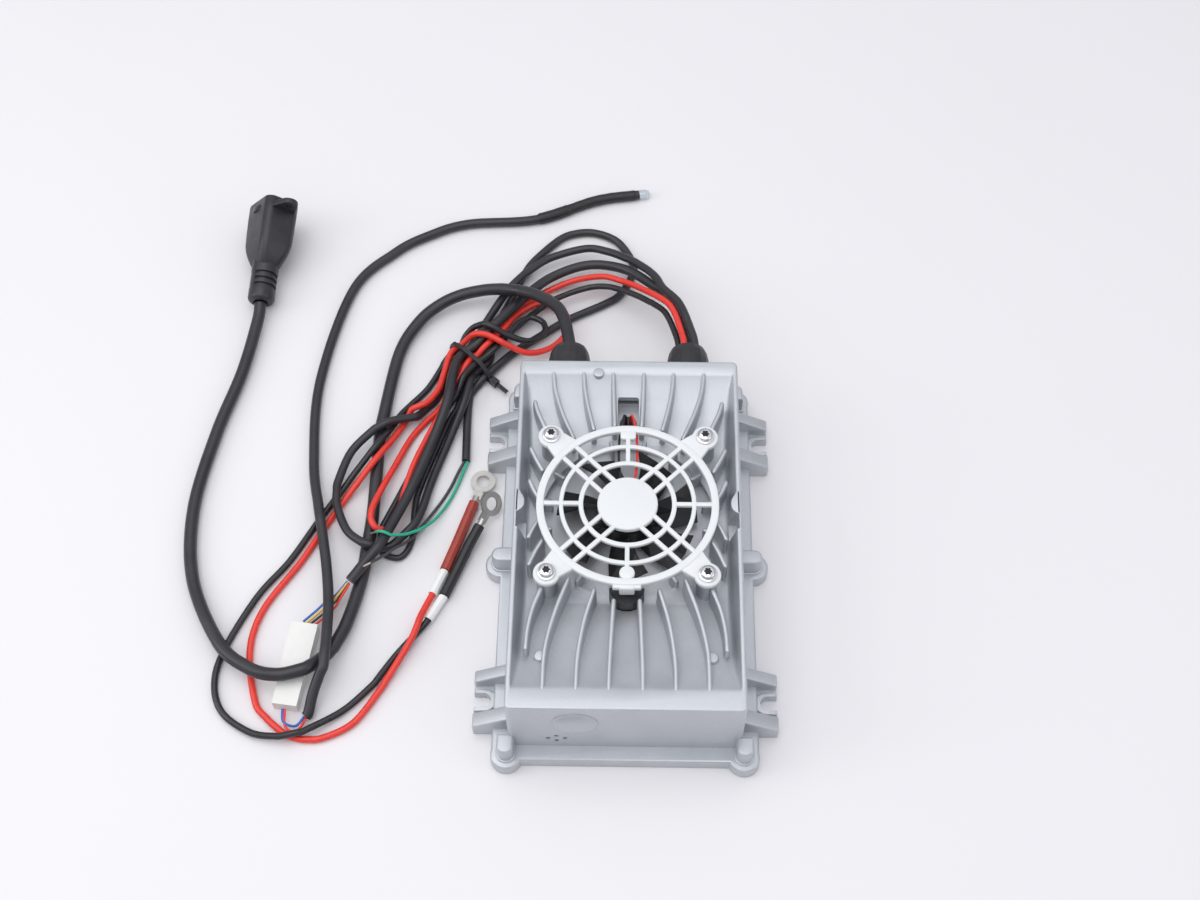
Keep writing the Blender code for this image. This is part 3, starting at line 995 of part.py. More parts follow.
def make_fan(colours):
    """Rotor cup with blades, magnet ring and shaft, round a stator fixed under the guard."""
    cup_top = GUARD_BOTTOM - FAN_WIRE - 2 * SEAT_GAP - RUNNING_GAP
    floor = HUB_BOTTOM + HUB_FLOOR_THICKNESS
    shaft_bore = SHAFT_RADIUS + SEAT_GAP
    boss_top = floor + 2 * MM
    boss_radius = shaft_bore + 1.5 * MM
    hub_inside = HUB_RADIUS - HUB_WALL
    impeller = turned("fan_impeller",
                      [(shaft_bore, HUB_BOTTOM), (HUB_RADIUS - 1 * MM, HUB_BOTTOM),
                       (HUB_RADIUS, HUB_BOTTOM + 1 * MM), (HUB_RADIUS, cup_top), (hub_inside, cup_top),
                       (hub_inside, floor), (boss_radius, floor), (boss_radius, boss_top),
                       (shaft_bore, boss_top)], 24, colours["fan"])
    impeller.data.transform(Matrix.Translation((0, FAN_Y, 0)))
    combine(impeller, "UNION", [blade(index) for index in range(BLADE_COUNT)])
    smooth(impeller)

    magnet_outer = hub_inside - SEAT_GAP
    magnet_inner = magnet_outer - MAGNET_THICKNESS
    magnet_low = floor + SEAT_GAP
    ring_solid("fan_magnet_ring", (0, FAN_Y), magnet_inner, magnet_outer, magnet_low,
               cup_top - 1.5 * MM, 20, colours["magnet"])

    shaft_top = GUARD_BOTTOM - 2.0 * MM
    cylinder("fan_shaft", (0, FAN_Y), SHAFT_RADIUS, HUB_BOTTOM + 0.3 * MM, shaft_top, 12, colours["steel"])
    bearing_inner = SHAFT_RADIUS + SEAT_GAP
    bearing_outer = bearing_inner + BEARING_WALL
    bearing_low = boss_top + RUNNING_GAP
    ring_solid("fan_bearing", (0, FAN_Y), bearing_inner, bearing_outer, bearing_low,
               GUARD_BOTTOM - 3.0 * MM, 16, colours["bronze"])

    tube_inner = bearing_outer + SEAT_GAP
    tube_outer = tube_inner + STATOR_TUBE_WALL
    stator_outer = magnet_inner - RUNNING_GAP
    stator_top = GUARD_BOTTOM - SEAT_GAP
    turned("fan_stator",
           [(tube_inner, bearing_low), (tube_outer, bearing_low), (tube_outer, bearing_low + 1.5 * MM),
            (stator_outer, bearing_low + 1.5 * MM), (stator_outer, stator_top - 3 * MM),
            (stator_outer - 1.5 * MM, stator_top), (0, stator_top), (0, stator_top - 1.4 * MM),
            (tube_inner, stator_top - 1.4 * MM)],
           16, colours["copper"]).data.transform(Matrix.Translation((0, FAN_Y, 0)))


def tube(name, points, diameter, surface, resolution=2):
    """A round cord through the given points, with closed ends."""
    curve = bpy.data.curves.new(name, "CURVE")
    curve.dimensions = "3D"
    curve.bevel_depth = diameter / 2
    curve.bevel_resolution = resolution
    curve.use_fill_caps = True
    spline = curve.splines.new("POLY")
    spline.points.add(len(points) - 1)
    for place, point in zip(spline.points, points):
        place.co = (*point, 1.0)
    curve.materials.append(surface)
    item = bpy.data.objects.new(name, curve)
    bpy.context.scene.collection.objects.link(item)
    return item


def make_fan_leads(colours):
    """The fan's two wires, from the stator along the guard's far bar and down into the pocket."""
    under = GUARD_BOTTOM - FAN_WIRE / 2 - SEAT_GAP
    for name, side in (("fan_wire_black", -1), ("fan_wire_red", 1)):
        route = [Vector(point) * MM for point in (
            (side * 3.0, 21.9, 0), (side * 3.6, 27.6, 0), (side * 4.6, 34.0, 0), (side * 5.0, 44.0, 0),
            (side * 4.6, 54.0, 0), (side * 4.0, 60.0, -0.3), (side * 3.0, 66.0, -1.0),
            (side * 2.0, 70.4, -3.6), (side * 1.3, 72.3, -9.0))]
        route = [point + Vector((0, 0, under)) for point in route]
        for height in (42.0 * MM, 36.0 * MM, 28.0 * MM, 18.0 * MM, BOARD_TOP + SEAT_GAP):
            route.append(Vector((side * GROMMET_BORE_X, WIRE_HOLE_Y, height)))
        points = smooth_path(route, 22)
        tube(name, points, FAN_WIRE, colours["wire_black" if side < 0 else "wire_red"])


def make_lead_grommet(surface):
    """Rubber grommet that seals the fan's wires where they enter the housing."""
    seat = POCKET_FLOOR + SEAT_GAP
    body = WIRE_HOLE_RADIUS - SEAT_GAP
    grommet = turned("lead_grommet",
                     [(0, POCKET_FLOOR - WALL), (body, POCKET_FLOOR - WALL), (body, seat),
                      (GROMMET_FLANGE_RADIUS, seat), (GROMMET_FLANGE_RADIUS, seat + GROMMET_FLANGE),
                      (0, seat + GROMMET_FLANGE)], 14, surface)
    grommet.data.transform(Matrix.Translation((0, WIRE_HOLE_Y, 0)))
    combine(grommet, "DIFFERENCE",
            [cylinder(f"grommet_bore_{index}", (side * GROMMET_BORE_X, WIRE_HOLE_Y),
                      FAN_WIRE / 2 + SEAT_GAP, POCKET_FLOOR - 2 * WALL, seat + 2 * GROMMET_FLANGE, 8)
             for index, side in enumerate((-1, 1))])


def make_tab_buffer(surface):
    """Rubber block in the near notch, which the guard's leg presses against."""
    centre = Vector((0, FAN_Y - WELL_RADIUS + 2 * MM))
    radius = NEAR_NOTCH_RADIUS - SEAT_GAP
    outline = []
    for step in range(9):
        angle = math.pi + math.pi * step / 8
        outline.append((centre.x + radius * math.cos(angle), centre.y + radius * math.sin(angle)))
    prism("tab_buffer", outline, WELL_FLOOR + 1 * MM + SEAT_GAP,
          GUARD_BOTTOM - GUARD_TAB_DROP - SEAT_GAP, surface)


def make_gland(name, x, bores, surface):
    """Rubber gland: a thread through the wall with a nut, a flange and a domed nose."""
    face = HALF_LENGTH + SEAT_GAP
    inside = HALF_LENGTH - WALL - GLAND_INSIDE
    dome = []
    for step in range(5):
        angle = math.pi / 2 * step / 4
        dome.append((GLAND_NOSE_RADIUS + (GLAND_RADIUS - GLAND_NOSE_RADIUS) * math.cos(angle),
                     face + GLAND_FLANGE + GLAND_DOME * math.sin(angle)))
    nut_face = HALF_LENGTH - WALL - SEAT_GAP
    profile = [(0, inside), (GLAND_NUT_RADIUS, inside), (GLAND_NUT_RADIUS, nut_face),
               (GLAND_THREAD_RADIUS, nut_face), (GLAND_THREAD_RADIUS, face),
               (GLAND_RADIUS, face)] + dome + [(0, dome[-1][1])]
    gland = turned(name, profile, 20, surface)
    gland.data.transform(Matrix.Translation((x, 0, GLAND_Z)) @ Matrix.Rotation(math.radians(-90), 4, "X"))
    cutters = []
    for index, (dx, dz, radius) in enumerate(bores):
        bore = cylinder(f"{name}_bore_{index}", (dx, -dz), radius + SEAT_GAP, inside - 1 * MM,
                        dome[-1][1] + 1 * MM, 10)
        bore.data.transform(Matrix.Translation((x, 0, GLAND_Z)) @ Matrix.Rotation(math.radians(-90), 4, "X"))
        cutters.append(bore)
    combine(gland, "DIFFERENCE", cutters)
    smooth(gland)
    return gland


def cord_path(route):
    """Points along a smooth curve through a route, closer together where it bends.

    The second point of the route is always kept, because it is where a lead leaves its gland.
    """
    dense = smooth_curve([Vector(point) * MM for point in route])
    points, run = [dense[0], dense[CURVE_STEPS]], 0.0
    heading = (dense[CURVE_STEPS + 1] - dense[CURVE_STEPS]).normalized()
    for index in range(CURVE_STEPS + 1, len(dense) - 1):
        run += (dense[index] - dense[index - 1]).length
        following = (dense[index + 1] - dense[index]).normalized()
        turned_by = math.degrees(heading.angle(following))
        if run > CORD_SHORTEST_STEP and (turned_by > CORD_TURN or run > CORD_LONGEST_STEP):
            points.append(dense[index])
            heading, run = following, 0.0
    points.append(dense[-1])
    return points


def stretch(points, start, stop):
    """The part of a path between two distances from its end; a negative one lies beyond the end."""
    backwards = points[::-1]
    last = (backwards[0] - backwards[1]).normalized()
    result = [backwards[0] - last * stop] if stop < 0 else []
    walked = 0.0
    for before, after in zip(backwards, backwards[1:]):
        length = (after - before).length
        for mark in (stop, start):
            if walked <= mark < walked + length:
                result.append(before.lerp(after, (mark - walked) / length))
        walked += length
        if stop < walked < start:
            result.append(after)
    return sorted(result, key=lambda point: (point - backwards[0]).dot(last))


def sleeve(name, points, inner, outer, surface, sides=10):
    """A hollow sleeve along a path."""
    sections = []
    for index, point in enumerate(points):
        before = points[max(index - 1, 0)]
        after = points[min(index + 1, len(points) - 1)]
        along = (after - before).normalized()
        side = along.cross(Vector((0, 0, 1))).normalized()
        up = side.cross(along)
        sections.append([[point + (side * math.cos(angle) + up * math.sin(angle)) * radius
                          for angle in [2 * math.pi * step / sides for step in range(sides)]]
                         for radius in (inner, outer)])
    points, faces = [], []
    for pair in sections:
        points += pair[0] + pair[1]
    for ring in range(len(sections) - 1):
        for shell in (0, 1):
            base = ring * 2 * sides + shell * sides
            for step in range(sides):
                following = (step + 1) % sides
                faces.append((base + step, base + following,
                              base + 2 * sides + following, base + 2 * sides + step))
    for base in (0, (len(sections) - 1) * 2 * sides):
        for step in range(sides):
            following = (step + 1) % sides
            faces.append((base + step, base + following,
                          base + sides + following, base + sides + step))
    item = link(name, mesh_from(name, points, faces), surface)
    smooth(item)
    return item


def make_lug(name, path, roll, surface):
    """Ring terminal: a barrel in the sleeve, a flat tongue and a ring with a bolt hole."""
    end = path[-1]
    along = (path[-1] - path[-2]).normalized()
    side = along.cross(Vector((0, 0, 1))).normalized()
    up = side.cross(along)
    half = LUG_THICKNESS / 2
    barrel = cylinder(name, (0, 0), DC_WIRE / 2, 0.4 * MM, 9.0 * MM, 12, surface)
    barrel.data.transform(Matrix.Rotation(math.radians(-90), 4, "X"))
    ring = prism(f"{name}_ring", circle((0, LUG_REACH), LUG_RING_RADIUS, 20), -half, half)
    tongue = prism(f"{name}_tongue",
                   [(-LUG_TONGUE_HALF_WIDTH, 7.5 * MM), (LUG_TONGUE_HALF_WIDTH, 7.5 * MM),
                    (LUG_TONGUE_HALF_WIDTH, LUG_REACH - 4.5 * MM),
                    (-LUG_TONGUE_HALF_WIDTH, LUG_REACH - 4.5 * MM)], -half * 0.8, half * 0.8)
    hole = prism(f"{name}_hole", circle((0, LUG_REACH), LUG_HOLE_RADIUS, 16), -2 * MM, 2 * MM)
    frame = Matrix((side, along, up)).transposed().to_4x4()
    place = Matrix.Translation(end) @ frame @ Matrix.Rotation(math.radians(roll), 4, "Y")
    for piece in (barrel, ring, tongue, hole):
        piece.data.transform(place)
    combine(barrel, "UNION", [ring, tongue])
    combine(barrel, "DIFFERENCE", [hole])
    smooth(barrel)


def make_dc_leads(colours):
    """The two DC wires, each with its label sleeve, heat-shrink sleeve and ring terminal."""
    for name, route, wire, shrink, roll in (
            ("positive", DC_POSITIVE_ROUTE, "wire_red", "shrink_red", 0.0),
            ("negative", DC_NEGATIVE_ROUTE, "wire_black", "jacket", NEGATIVE_LUG_ROLL)):
        path = cord_path(route)
        tube(f"dc_{name}_wire", path, DC_WIRE, colours[wire])
        inner = DC_WIRE / 2 + SEAT_GAP
        sleeve(f"{name}_label", stretch(path, LABEL_START, LABEL_END), inner, inner + LABEL_WALL,
               colours["label"])
        sleeve(f"{name}_sleeve", stretch(path, SHRINK_START, -SHRINK_OVERHANG), inner,
               inner + SHRINK_WALL, colours[shrink])
        make_lug(f"{name}_terminal", path, roll, colours["terminal"])


def make_signal_leads(colours):
    """The lamp's cable, the signal cable and the two-core cable, with their bared cores."""
    lamp_path = cord_path(LAMP_CABLE_ROUTE)
    tube("lamp_cable", lamp_path, LAMP_CABLE, colours["jacket"])
    tube("signal_cable", cord_path(SIGNAL_CABLE_ROUTE), SIGNAL_CABLE, colours["jacket"])
    tube("pair_cable", cord_path(PAIR_CABLE_ROUTE), PAIR_CABLE, colours["jacket"])
    for name, route, diameter, surface in (
            ("signal_wires", SIGNAL_WIRES_ROUTE, WIRE_GROUP, "wire_blue"),
            ("lamp_wires", LAMP_WIRES_ROUTE, WIRE_GROUP, "wire_blue"),
            ("pair_green_wire", GREEN_WIRE_ROUTE, CORE_WIRE, "wire_green"),
            ("pair_grey_wire", GREY_WIRE_ROUTE, CORE_WIRE, "wire_grey")):
        tube(name, cord_path(route), diameter, colours[surface])

    along = lamp_path[-1] - lamp_path[-2]
    along.z = 0.0
    along.normalize()
    lamp = turned("status_lamp",
                  [(0, SEAT_GAP), (LAMP_CABLE / 2, SEAT_GAP), (LAMP_CABLE / 2, LAMP_LENGTH * 0.6),
                   (LAMP_CABLE / 2 * 0.75, LAMP_LENGTH * 0.88), (0, LAMP_LENGTH)], 14, colours["lens"])
    lamp.data.transform(Matrix.Translation(lamp_path[-1])
                        @ Vector((0, 0, 1)).rotation_difference(along).to_matrix().to_4x4())
    smooth(lamp)


def make_connector(colours):
    """The two halves of the connector between the signal cable and the lamp's cable."""
    top, bottom = Vector(CONNECTOR_TOP), Vector(CONNECTOR_BOTTOM)
    along = (bottom - top).normalized()
    across = Vector((-along.y, along.x))
    length = (bottom - top).length
    split = length * CONNECTOR_SPLIT
    for name, start, stop, step in (
            ("connector_upper", 0.0, split, 0.0),
            ("connector_lower", split + SEAT_GAP, length, CONNECTOR_STEP)):
        half = CONNECTOR_HALF_WIDTH - step
        plan = [top + along * start + across * half, top + along * start - across * half,
                top + along * stop - across * half, top + along * stop + across * half]
        prism(name, plan, 0.1 * MM, CONNECTOR_HEIGHT - step, colours["connector"])


def make_tie(surface):
    """A cable tie round the hank, with its head and a short tail."""
    centre = Vector((*TIE_CENTRE, 0))
    along = Vector((*TIE_ALONG, 0)).normalized()
    across = Vector((-along.y, along.x, 0))
    if across.x < 0:
        across = -across
    inner = [Vector(point) * MM for point in TIE_OUTLINE]
    middle = sum(inner, Vector((0, 0))) / len(inner)
    outer = [point + (point - middle).normalized() * TIE_BAND for point in inner]
    outer = [Vector((point.x, max(point.y, 0.05 * MM))) for point in outer]
    inner = [Vector((point.x, max(point.y, 0.05 * MM + TIE_BAND * 0.6))) for point in inner]
    points, faces = [], []
    for ring in (inner, outer):
        for side in (-1, 1):
            points += [centre + across * point.x + Vector((0, 0, point.y)) + along * side * TIE_WIDTH / 2
                       for point in ring]
    count = len(inner)
    for step in range(count):
        following = (step + 1) % count
        for first, second in ((0, 1), (1, 3), (3, 2), (2, 0)):
            faces.append((first * count + step, first * count + following,
                          second * count + following, second * count + step))
    tie = link("cable_tie", mesh_from("cable_tie", points, faces), surface)
    corner = outer[2]
    head = centre + across * (corner.x - 0.6 * MM)
    tail_end = across * TIE_TAIL
    side = along * TIE_WIDTH / 2
    block = [head + side * 1.6, head - side * 1.6, head - side * 1.6 + across * TIE_HEAD,
             head + side * 1.6 + across * TIE_HEAD]
    tail = [head + side * 0.9, head - side * 0.9,
            head - side * 0.9 + tail_end, head + side * 0.9 + tail_end]
    combine(tie, "UNION", [prism("tie_head", [(p.x, p.y) for p in block], 1.6 * MM, 5.4 * MM),
                           prism("tie_tail", [(p.x, p.y) for p in tail], 3.0 * MM, 4.0 * MM)])


def make_plug(colours):
    """Screw-flange inlet plug with three pins in its socket."""
    place = (Matrix.Translation(PLUG_ENTRY) @ Matrix.Rotation(math.radians(-PLUG_HEADING), 4, "Z")
             @ Matrix.Rotation(math.radians(PLUG_PITCH), 4, "X")
             @ Matrix.Rotation(math.radians(-PLUG_ROLL), 4, "Y"))
    lay = Matrix.Rotation(math.radians(-90), 4, "X")
    plug = turned("inlet_plug",
                  [(0, SEAT_GAP), (MAINS_CABLE / 2 + 2.4 * MM, SEAT_GAP), (PLUG_RELIEF_RADIUS, 4 * MM),
                   (PLUG_RELIEF_RADIUS, PLUG_RELIEF_LENGTH + 1 * MM), (0, PLUG_RELIEF_LENGTH + 1 * MM)],
                  16, colours["black_plastic"])
    plug.data.transform(lay)
    sections = []
    for distance, inset in PLUG_TAPER:
        outline = rounded_rectangle(PLUG_HALF_X - inset, PLUG_HALF_Z - inset * PLUG_TAPER_SHARE,
                                    PLUG_CORNER_RADIUS, 2)
        sections.append([(x, distance, z) for x, z in outline])
    body = loft("plug_body", sections)
    flange = prism("plug_flange", rounded_rectangle(PLUG_EAR_SPACING / 2 + PLUG_EAR_RADIUS - 1 * MM,
                                                    PLUG_EAR_RADIUS + 1 * MM, PLUG_EAR_RADIUS, 3),
                   PLUG_FLANGE_START, PLUG_FLANGE_END)
    flange.data.transform(lay)
    socket = box("plug_socket",
                 (-PLUG_SOCKET_HALF_X, PLUG_BODY_END - PLUG_SOCKET_DEPTH, -PLUG_SOCKET_HALF_Z),
                 (PLUG_SOCKET_HALF_X, PLUG_BODY_END + 1 * MM, PLUG_SOCKET_HALF_Z))
    ear_holes = []
    for index, side in enumerate((-1, 1)):
        hole = cylinder(f"plug_ear_hole_{index}", (side * PLUG_EAR_SPACING / 2, 0), PLUG_HOLE_RADIUS,
                        PLUG_FLANGE_START - 2 * MM, PLUG_FLANGE_END + 2 * MM, 10)
        hole.data.transform(lay)
        ear_holes.append(hole)
    roots = []
    floor = PLUG_BODY_END - PLUG_SOCKET_DEPTH
    for name, x, z in (("inlet_pin_live", -PIN_X, -PIN_Z), ("inlet_pin_neutral", PIN_X, -PIN_Z),
                       ("inlet_pin_earth", 0.0, PIN_Z)):
        half_x, half_z = PIN_THICKNESS / 2, PIN_WIDTH / 2
        pin = box(name, (x - half_x, floor - PIN_ROOT + SEAT_GAP, z - half_z),
                  (x + half_x, floor - PIN_ROOT + PIN_LENGTH, z + half_z), colours["steel"])
        pin.data.transform(place)
        half_x, half_z = half_x + SEAT_GAP, half_z + SEAT_GAP
        roots.append(box(f"{name}_root", (x - half_x, floor - PIN_ROOT, z - half_z),
                         (x + half_x, floor + 1 * MM, z + half_z)))
    for piece in [plug, body, flange, socket] + ear_holes + roots:
        piece.data.transform(place)
    combine(plug, "UNION", [body, flange])
    combine(plug, "DIFFERENCE", [socket] + ear_holes + roots)
    smooth(plug)
    tube("mains_cable", cord_path(MAINS_CABLE_ROUTE), MAINS_CABLE, colours["jacket"])


def make_board(colours):
    """The circuit board under its posts, its screws, and the parts that stand on it."""
    low = BOARD_TOP - BOARD_THICKNESS
    board = box("circuit_board", (-BOARD_HALF_X, -BOARD_HALF_Y, low),
                (BOARD_HALF_X, BOARD_HALF_Y, BOARD_TOP), colours["board"])
    combine(board, "DIFFERENCE",
            [cylinder(f"board_clear_{index}", centre, BOARD_SCREW_RADIUS + SEAT_GAP,
                      low - 1 * MM, BOARD_TOP + 1 * MM, 8)
             for index, centre in enumerate(BOARD_SCREW_CENTRES)])
    for index, centre in enumerate(BOARD_SCREW_CENTRES):
        head = low - SEAT_GAP
        screw = turned(f"board_screw_{index + 1}",
                       [(0, head - BOARD_SCREW_HEAD), (BOARD_SCREW_HEAD_RADIUS, head - BOARD_SCREW_HEAD),
                        (BOARD_SCREW_HEAD_RADIUS, head), (BOARD_SCREW_RADIUS, head),
                        (BOARD_SCREW_RADIUS, BOARD_TOP + BOARD_SCREW_REACH),
                        (0, BOARD_TOP + BOARD_SCREW_REACH)], 8, colours["steel"])
        screw.location = (*centre, 0)
        smooth(screw)

    seat = BOARD_TOP + SEAT_GAP
    x, y = TRANSFORMER_CENTRE
    half_x, half_y = TRANSFORMER_HALF_X, TRANSFORMER_HALF_Y
    winding_radius = half_y - 1 * MM
    core_limb = 5.0 * MM
    bottom, top = seat, seat + TRANSFORMER_HEIGHT
    core = box("transformer_core", (x - half_x, y - TRANSFORMER_CORE_HALF_Y, bottom),
               (x + half_x, y + TRANSFORMER_CORE_HALF_Y, top), colours["ferrite"])
    window = box("core_window", (x - half_x + core_limb, y - half_y, bottom + core_limb),
                 (x + half_x - core_limb, y + half_y, top - core_limb))
    combine(core, "DIFFERENCE", [window])
    centre_limb = cylinder("core_limb", (x, y), core_limb, bottom + 1 * MM, top - 1 * MM, 16)
    combine(core, "UNION", [centre_limb])
    window_radius = half_x - core_limb - SEAT_GAP
    ring_solid("transformer_winding", (x, y), core_limb + SEAT_GAP, min(winding_radius, window_radius),
               bottom + core_limb + SEAT_GAP, top - core_limb - SEAT_GAP, 18, colours["copper"])

    x, y = CHOKE_CENTRE
    choke = turned("input_choke", [(CHOKE_RADIUS - CHOKE_SECTION + math.cos(angle) * CHOKE_SECTION,
                                    math.sin(angle) * CHOKE_SECTION)
                                   for angle in [2 * math.pi * step / 6 for step in range(6)]],
                   16, colours["copper"])
    choke.data.transform(Matrix.Translation((x, y, seat + CHOKE_RADIUS))
                         @ Matrix.Rotation(math.radians(90), 4, "Y"))
    x, y = BULK_CAPACITOR_CENTRE
    radius, top = BULK_CAPACITOR_RADIUS, seat + BULK_CAPACITOR_HEIGHT
    can = turned("bulk_capacitor", [(0, seat), (radius, seat), (radius, top - 1 * MM),
                                    (radius - 1 * MM, top), (0, top)], 18, colours["can"])
    can.data.transform(Matrix.Translation((x, y, 0)))
    smooth(can)
    x, y = RELAY_CENTRE
    box("output_relay", (x - RELAY_HALF_X, y - RELAY_HALF_Y, seat),
        (x + RELAY_HALF_X, y + RELAY_HALF_Y, seat + RELAY_HEIGHT), colours["black_plastic"])
    wall_face = HALF_WIDTH - WALL
    y = TRANSISTOR_Y
    box("power_transistor",
        (wall_face - SEAT_GAP - TRANSISTOR_THICKNESS, y - TRANSISTOR_WIDTH / 2, seat),
        (wall_face - SEAT_GAP, y + TRANSISTOR_WIDTH / 2, seat + TRANSISTOR_HEIGHT),
        colours["black_plastic"])


def colours():
    return {
        "casting": material("cast_aluminium", (0.62, 0.64, 0.66), 0.42, 0.9),
        "cover": material("cover_plate", (0.60, 0.62, 0.64), 0.45, 0.9),
        "gasket": material("gasket_rubber", (0.03, 0.03, 0.03), 0.8),
        "steel": material("bright_steel", (0.70, 0.70, 0.72), 0.3, 1.0),
        "guard": material("white_plastic", (0.88, 0.90, 0.91), 0.35),
        "fan": material("fan_plastic", (0.03, 0.03, 0.035), 0.4),
        "magnet": material("magnet", (0.12, 0.11, 0.11), 0.6, 0.3),
        "bronze": material("bearing_bronze", (0.60, 0.42, 0.20), 0.4, 1.0),
        "copper": material("copper_winding", (0.65, 0.30, 0.12), 0.4, 0.8),
        "ferrite": material("ferrite", (0.10, 0.10, 0.11), 0.5),
        "board": material("circuit_board", (0.03, 0.22, 0.08), 0.5),
        "can": material("capacitor_sleeve", (0.05, 0.06, 0.12), 0.35),
        "black_plastic": material("black_plastic", (0.02, 0.02, 0.022), 0.5),
        "rubber": material("gland_rubber", (0.025, 0.025, 0.03), 0.6),
        "jacket": material("cable_jacket", (0.02, 0.02, 0.023), 0.45),
        "wire_red": material("red_insulation", (0.80, 0.06, 0.04), 0.4),
        "wire_black": material("black_insulation", (0.02, 0.02, 0.022), 0.4),
        "wire_green": material("green_insulation", (0.02, 0.50, 0.33), 0.4),
        "wire_grey": material("grey_insulation", (0.10, 0.10, 0.11), 0.4),
        "wire_blue": material("blue_insulation", (0.05, 0.20, 0.65), 0.4),
        "shrink_red": material("red_heat_shrink", (0.45, 0.07, 0.05), 0.6),
        "label": material("label_sleeve", (0.88, 0.88, 0.86), 0.5),
        "terminal": material("tinned_copper", (0.66, 0.65, 0.62), 0.35, 1.0),
        "connector": material("white_nylon", (0.86, 0.86, 0.83), 0.45),
        "lens": material("lamp_lens", (0.80, 0.84, 0.85), 0.15),
    }


def main():
    clear_scene()
    finish = colours()
    make_housing(finish["casting"])
    make_cover(finish["cover"])
    make_gasket(finish["gasket"])
    make_cover_screws(finish["steel"])
    make_guard(finish["guard"])
    make_fan_screws(finish["steel"])
    make_fan(finish)
    make_fan_leads(finish)
    make_lead_grommet(finish["rubber"])
    make_tab_buffer(finish["rubber"])
    make_gland("cable_gland_left", -GLAND_X, [(0, 0, MAINS_CABLE / 2)], finish["rubber"])
    make_gland("cable_gland_right", GLAND_X, RIGHT_GLAND_BORES, finish["rubber"])
    make_plug(finish)
    make_dc_leads(finish)
    make_signal_leads(finish)
    make_connector(finish)
    make_tie(finish["black_plastic"])
    make_board(finish)


main()
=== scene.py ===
"""Looks of a forklift battery charger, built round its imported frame.

Units are metres, +Z is up and +Y is towards the cable glands, as in the frame. Lengths in
millimetres are written as a number times MM.
"""

import math

import bmesh
import bpy
from mathutils import Matrix, Vector


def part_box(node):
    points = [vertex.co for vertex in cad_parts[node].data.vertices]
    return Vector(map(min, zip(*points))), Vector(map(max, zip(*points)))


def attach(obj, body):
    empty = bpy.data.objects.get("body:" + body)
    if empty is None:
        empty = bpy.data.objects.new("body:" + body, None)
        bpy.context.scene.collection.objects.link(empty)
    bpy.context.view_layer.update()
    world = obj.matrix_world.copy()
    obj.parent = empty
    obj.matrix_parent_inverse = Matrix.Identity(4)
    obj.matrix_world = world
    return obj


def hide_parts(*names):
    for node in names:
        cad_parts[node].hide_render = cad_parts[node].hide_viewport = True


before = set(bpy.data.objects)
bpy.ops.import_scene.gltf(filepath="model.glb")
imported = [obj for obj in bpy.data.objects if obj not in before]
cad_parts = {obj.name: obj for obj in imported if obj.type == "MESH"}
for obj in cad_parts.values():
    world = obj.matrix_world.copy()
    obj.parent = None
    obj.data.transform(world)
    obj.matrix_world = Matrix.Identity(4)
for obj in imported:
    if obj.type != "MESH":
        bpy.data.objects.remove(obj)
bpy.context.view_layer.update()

MM = 0.001
CHARGER = "charger"

# Camera, at the photograph's viewing angle
CAMERA_PLACE = (-2.806 * MM, -425.49 * MM, 829.47 * MM)
CAMERA_YAW = math.radians(1.491)
CAMERA_PITCH = math.radians(58.652)
CAMERA_ROLL = math.radians(-0.642)
CAMERA_LENS = 50.66
CAMERA_SENSOR = 36.0
CAMERA_CLIP = 0.02

# Light and floor
FLOOR_SIZE = 6.0
FLOOR_DROP = 0.05 * MM
FLOOR_COLOUR = (0.80, 0.79, 0.80)
SKY_COLOUR = (0.93, 0.94, 1.0)
SKY_STRENGTH = 0.86
HORIZON_SHARE = 0.36
FULL_SKY_HEIGHT = 0.75
# Name, place, size and power in watts; each one points at the origin
LIGHTS = [("softbox_above", (-0.30, -0.02, 1.5), (1.6, 1.3), 9.0),
          ("softbox_left", (-1.3, -0.1, 0.75), (0.6, 0.9), 4.0),
          ("fill_right", (1.3, -0.4, 0.8), (0.8, 0.8), 2.0)]

# Sizes of the housing and the fan guard, as in the frame
HALF_WIDTH = 60.0 * MM
HALF_LENGTH = 103.7 * MM
TOP = 56.0 * MM
PLAN_CORNER = 3.0 * MM
EDGE = 1.1 * MM
RIM = 2.8 * MM
RIM_DRAFT = 0.17
NEAR_TRAY_END = -93.5 * MM
FAR_TRAY_END = 96.5 * MM
TRAY_FLOOR = 40.5 * MM
NEAR_SLOPE = 55.0 * MM
FAR_SLOPE = 38.0 * MM
BLOCK_BOTTOM = 3.45 * MM
FOOT_HALF_X = 69.0 * MM
FOOT_HALF_Y = 111.8 * MM
FOOT_TOP = 8.0 * MM
FOOT_EDGE = 1.3 * MM
UNDER_EDGE = 0.25 * MM
RECESS_INSET = 1.3 * MM
LUG_RADIUS = 8.2 * MM
LUG_CENTRES = [(sx * x * MM, sy * y * MM) for x, y in ((61.2, 108.4), (69.0, 1.2))
               for sx in (-1, 1) for sy in (-1, 1) if y > 5 or sy > 0]
LUG_BOSS_RADIUS = 4.3 * MM
LUG_BOSS_TOP = 20.0 * MM
BRACKET_REACH = 79.4 * MM
BRACKET_HALF_LENGTH = 15.8 * MM
BRACKET_Y = 79.0 * MM
BRACKET_PLATE = 4.3 * MM
SLOT_RADIUS = 4.0 * MM
SLOT_SHIFT_Y = 0.7 * MM
FAN_Y = 11.0 * MM
WELL_RADIUS = 46.5 * MM
WELL_FLOOR = 36.0 * MM
WELL_LINING_TOP = 39.6 * MM
CABLE_NOTCH_Y = FAN_Y - WELL_RADIUS + 2.0 * MM
CABLE_NOTCH_RADIUS = 9.5 * MM
POCKET_FLOOR = 38.5 * MM
SIDE_POCKET_FLOOR = 41.4 * MM
FIN_TOP = 55.7 * MM
FIN_HALF = 1.2 * MM
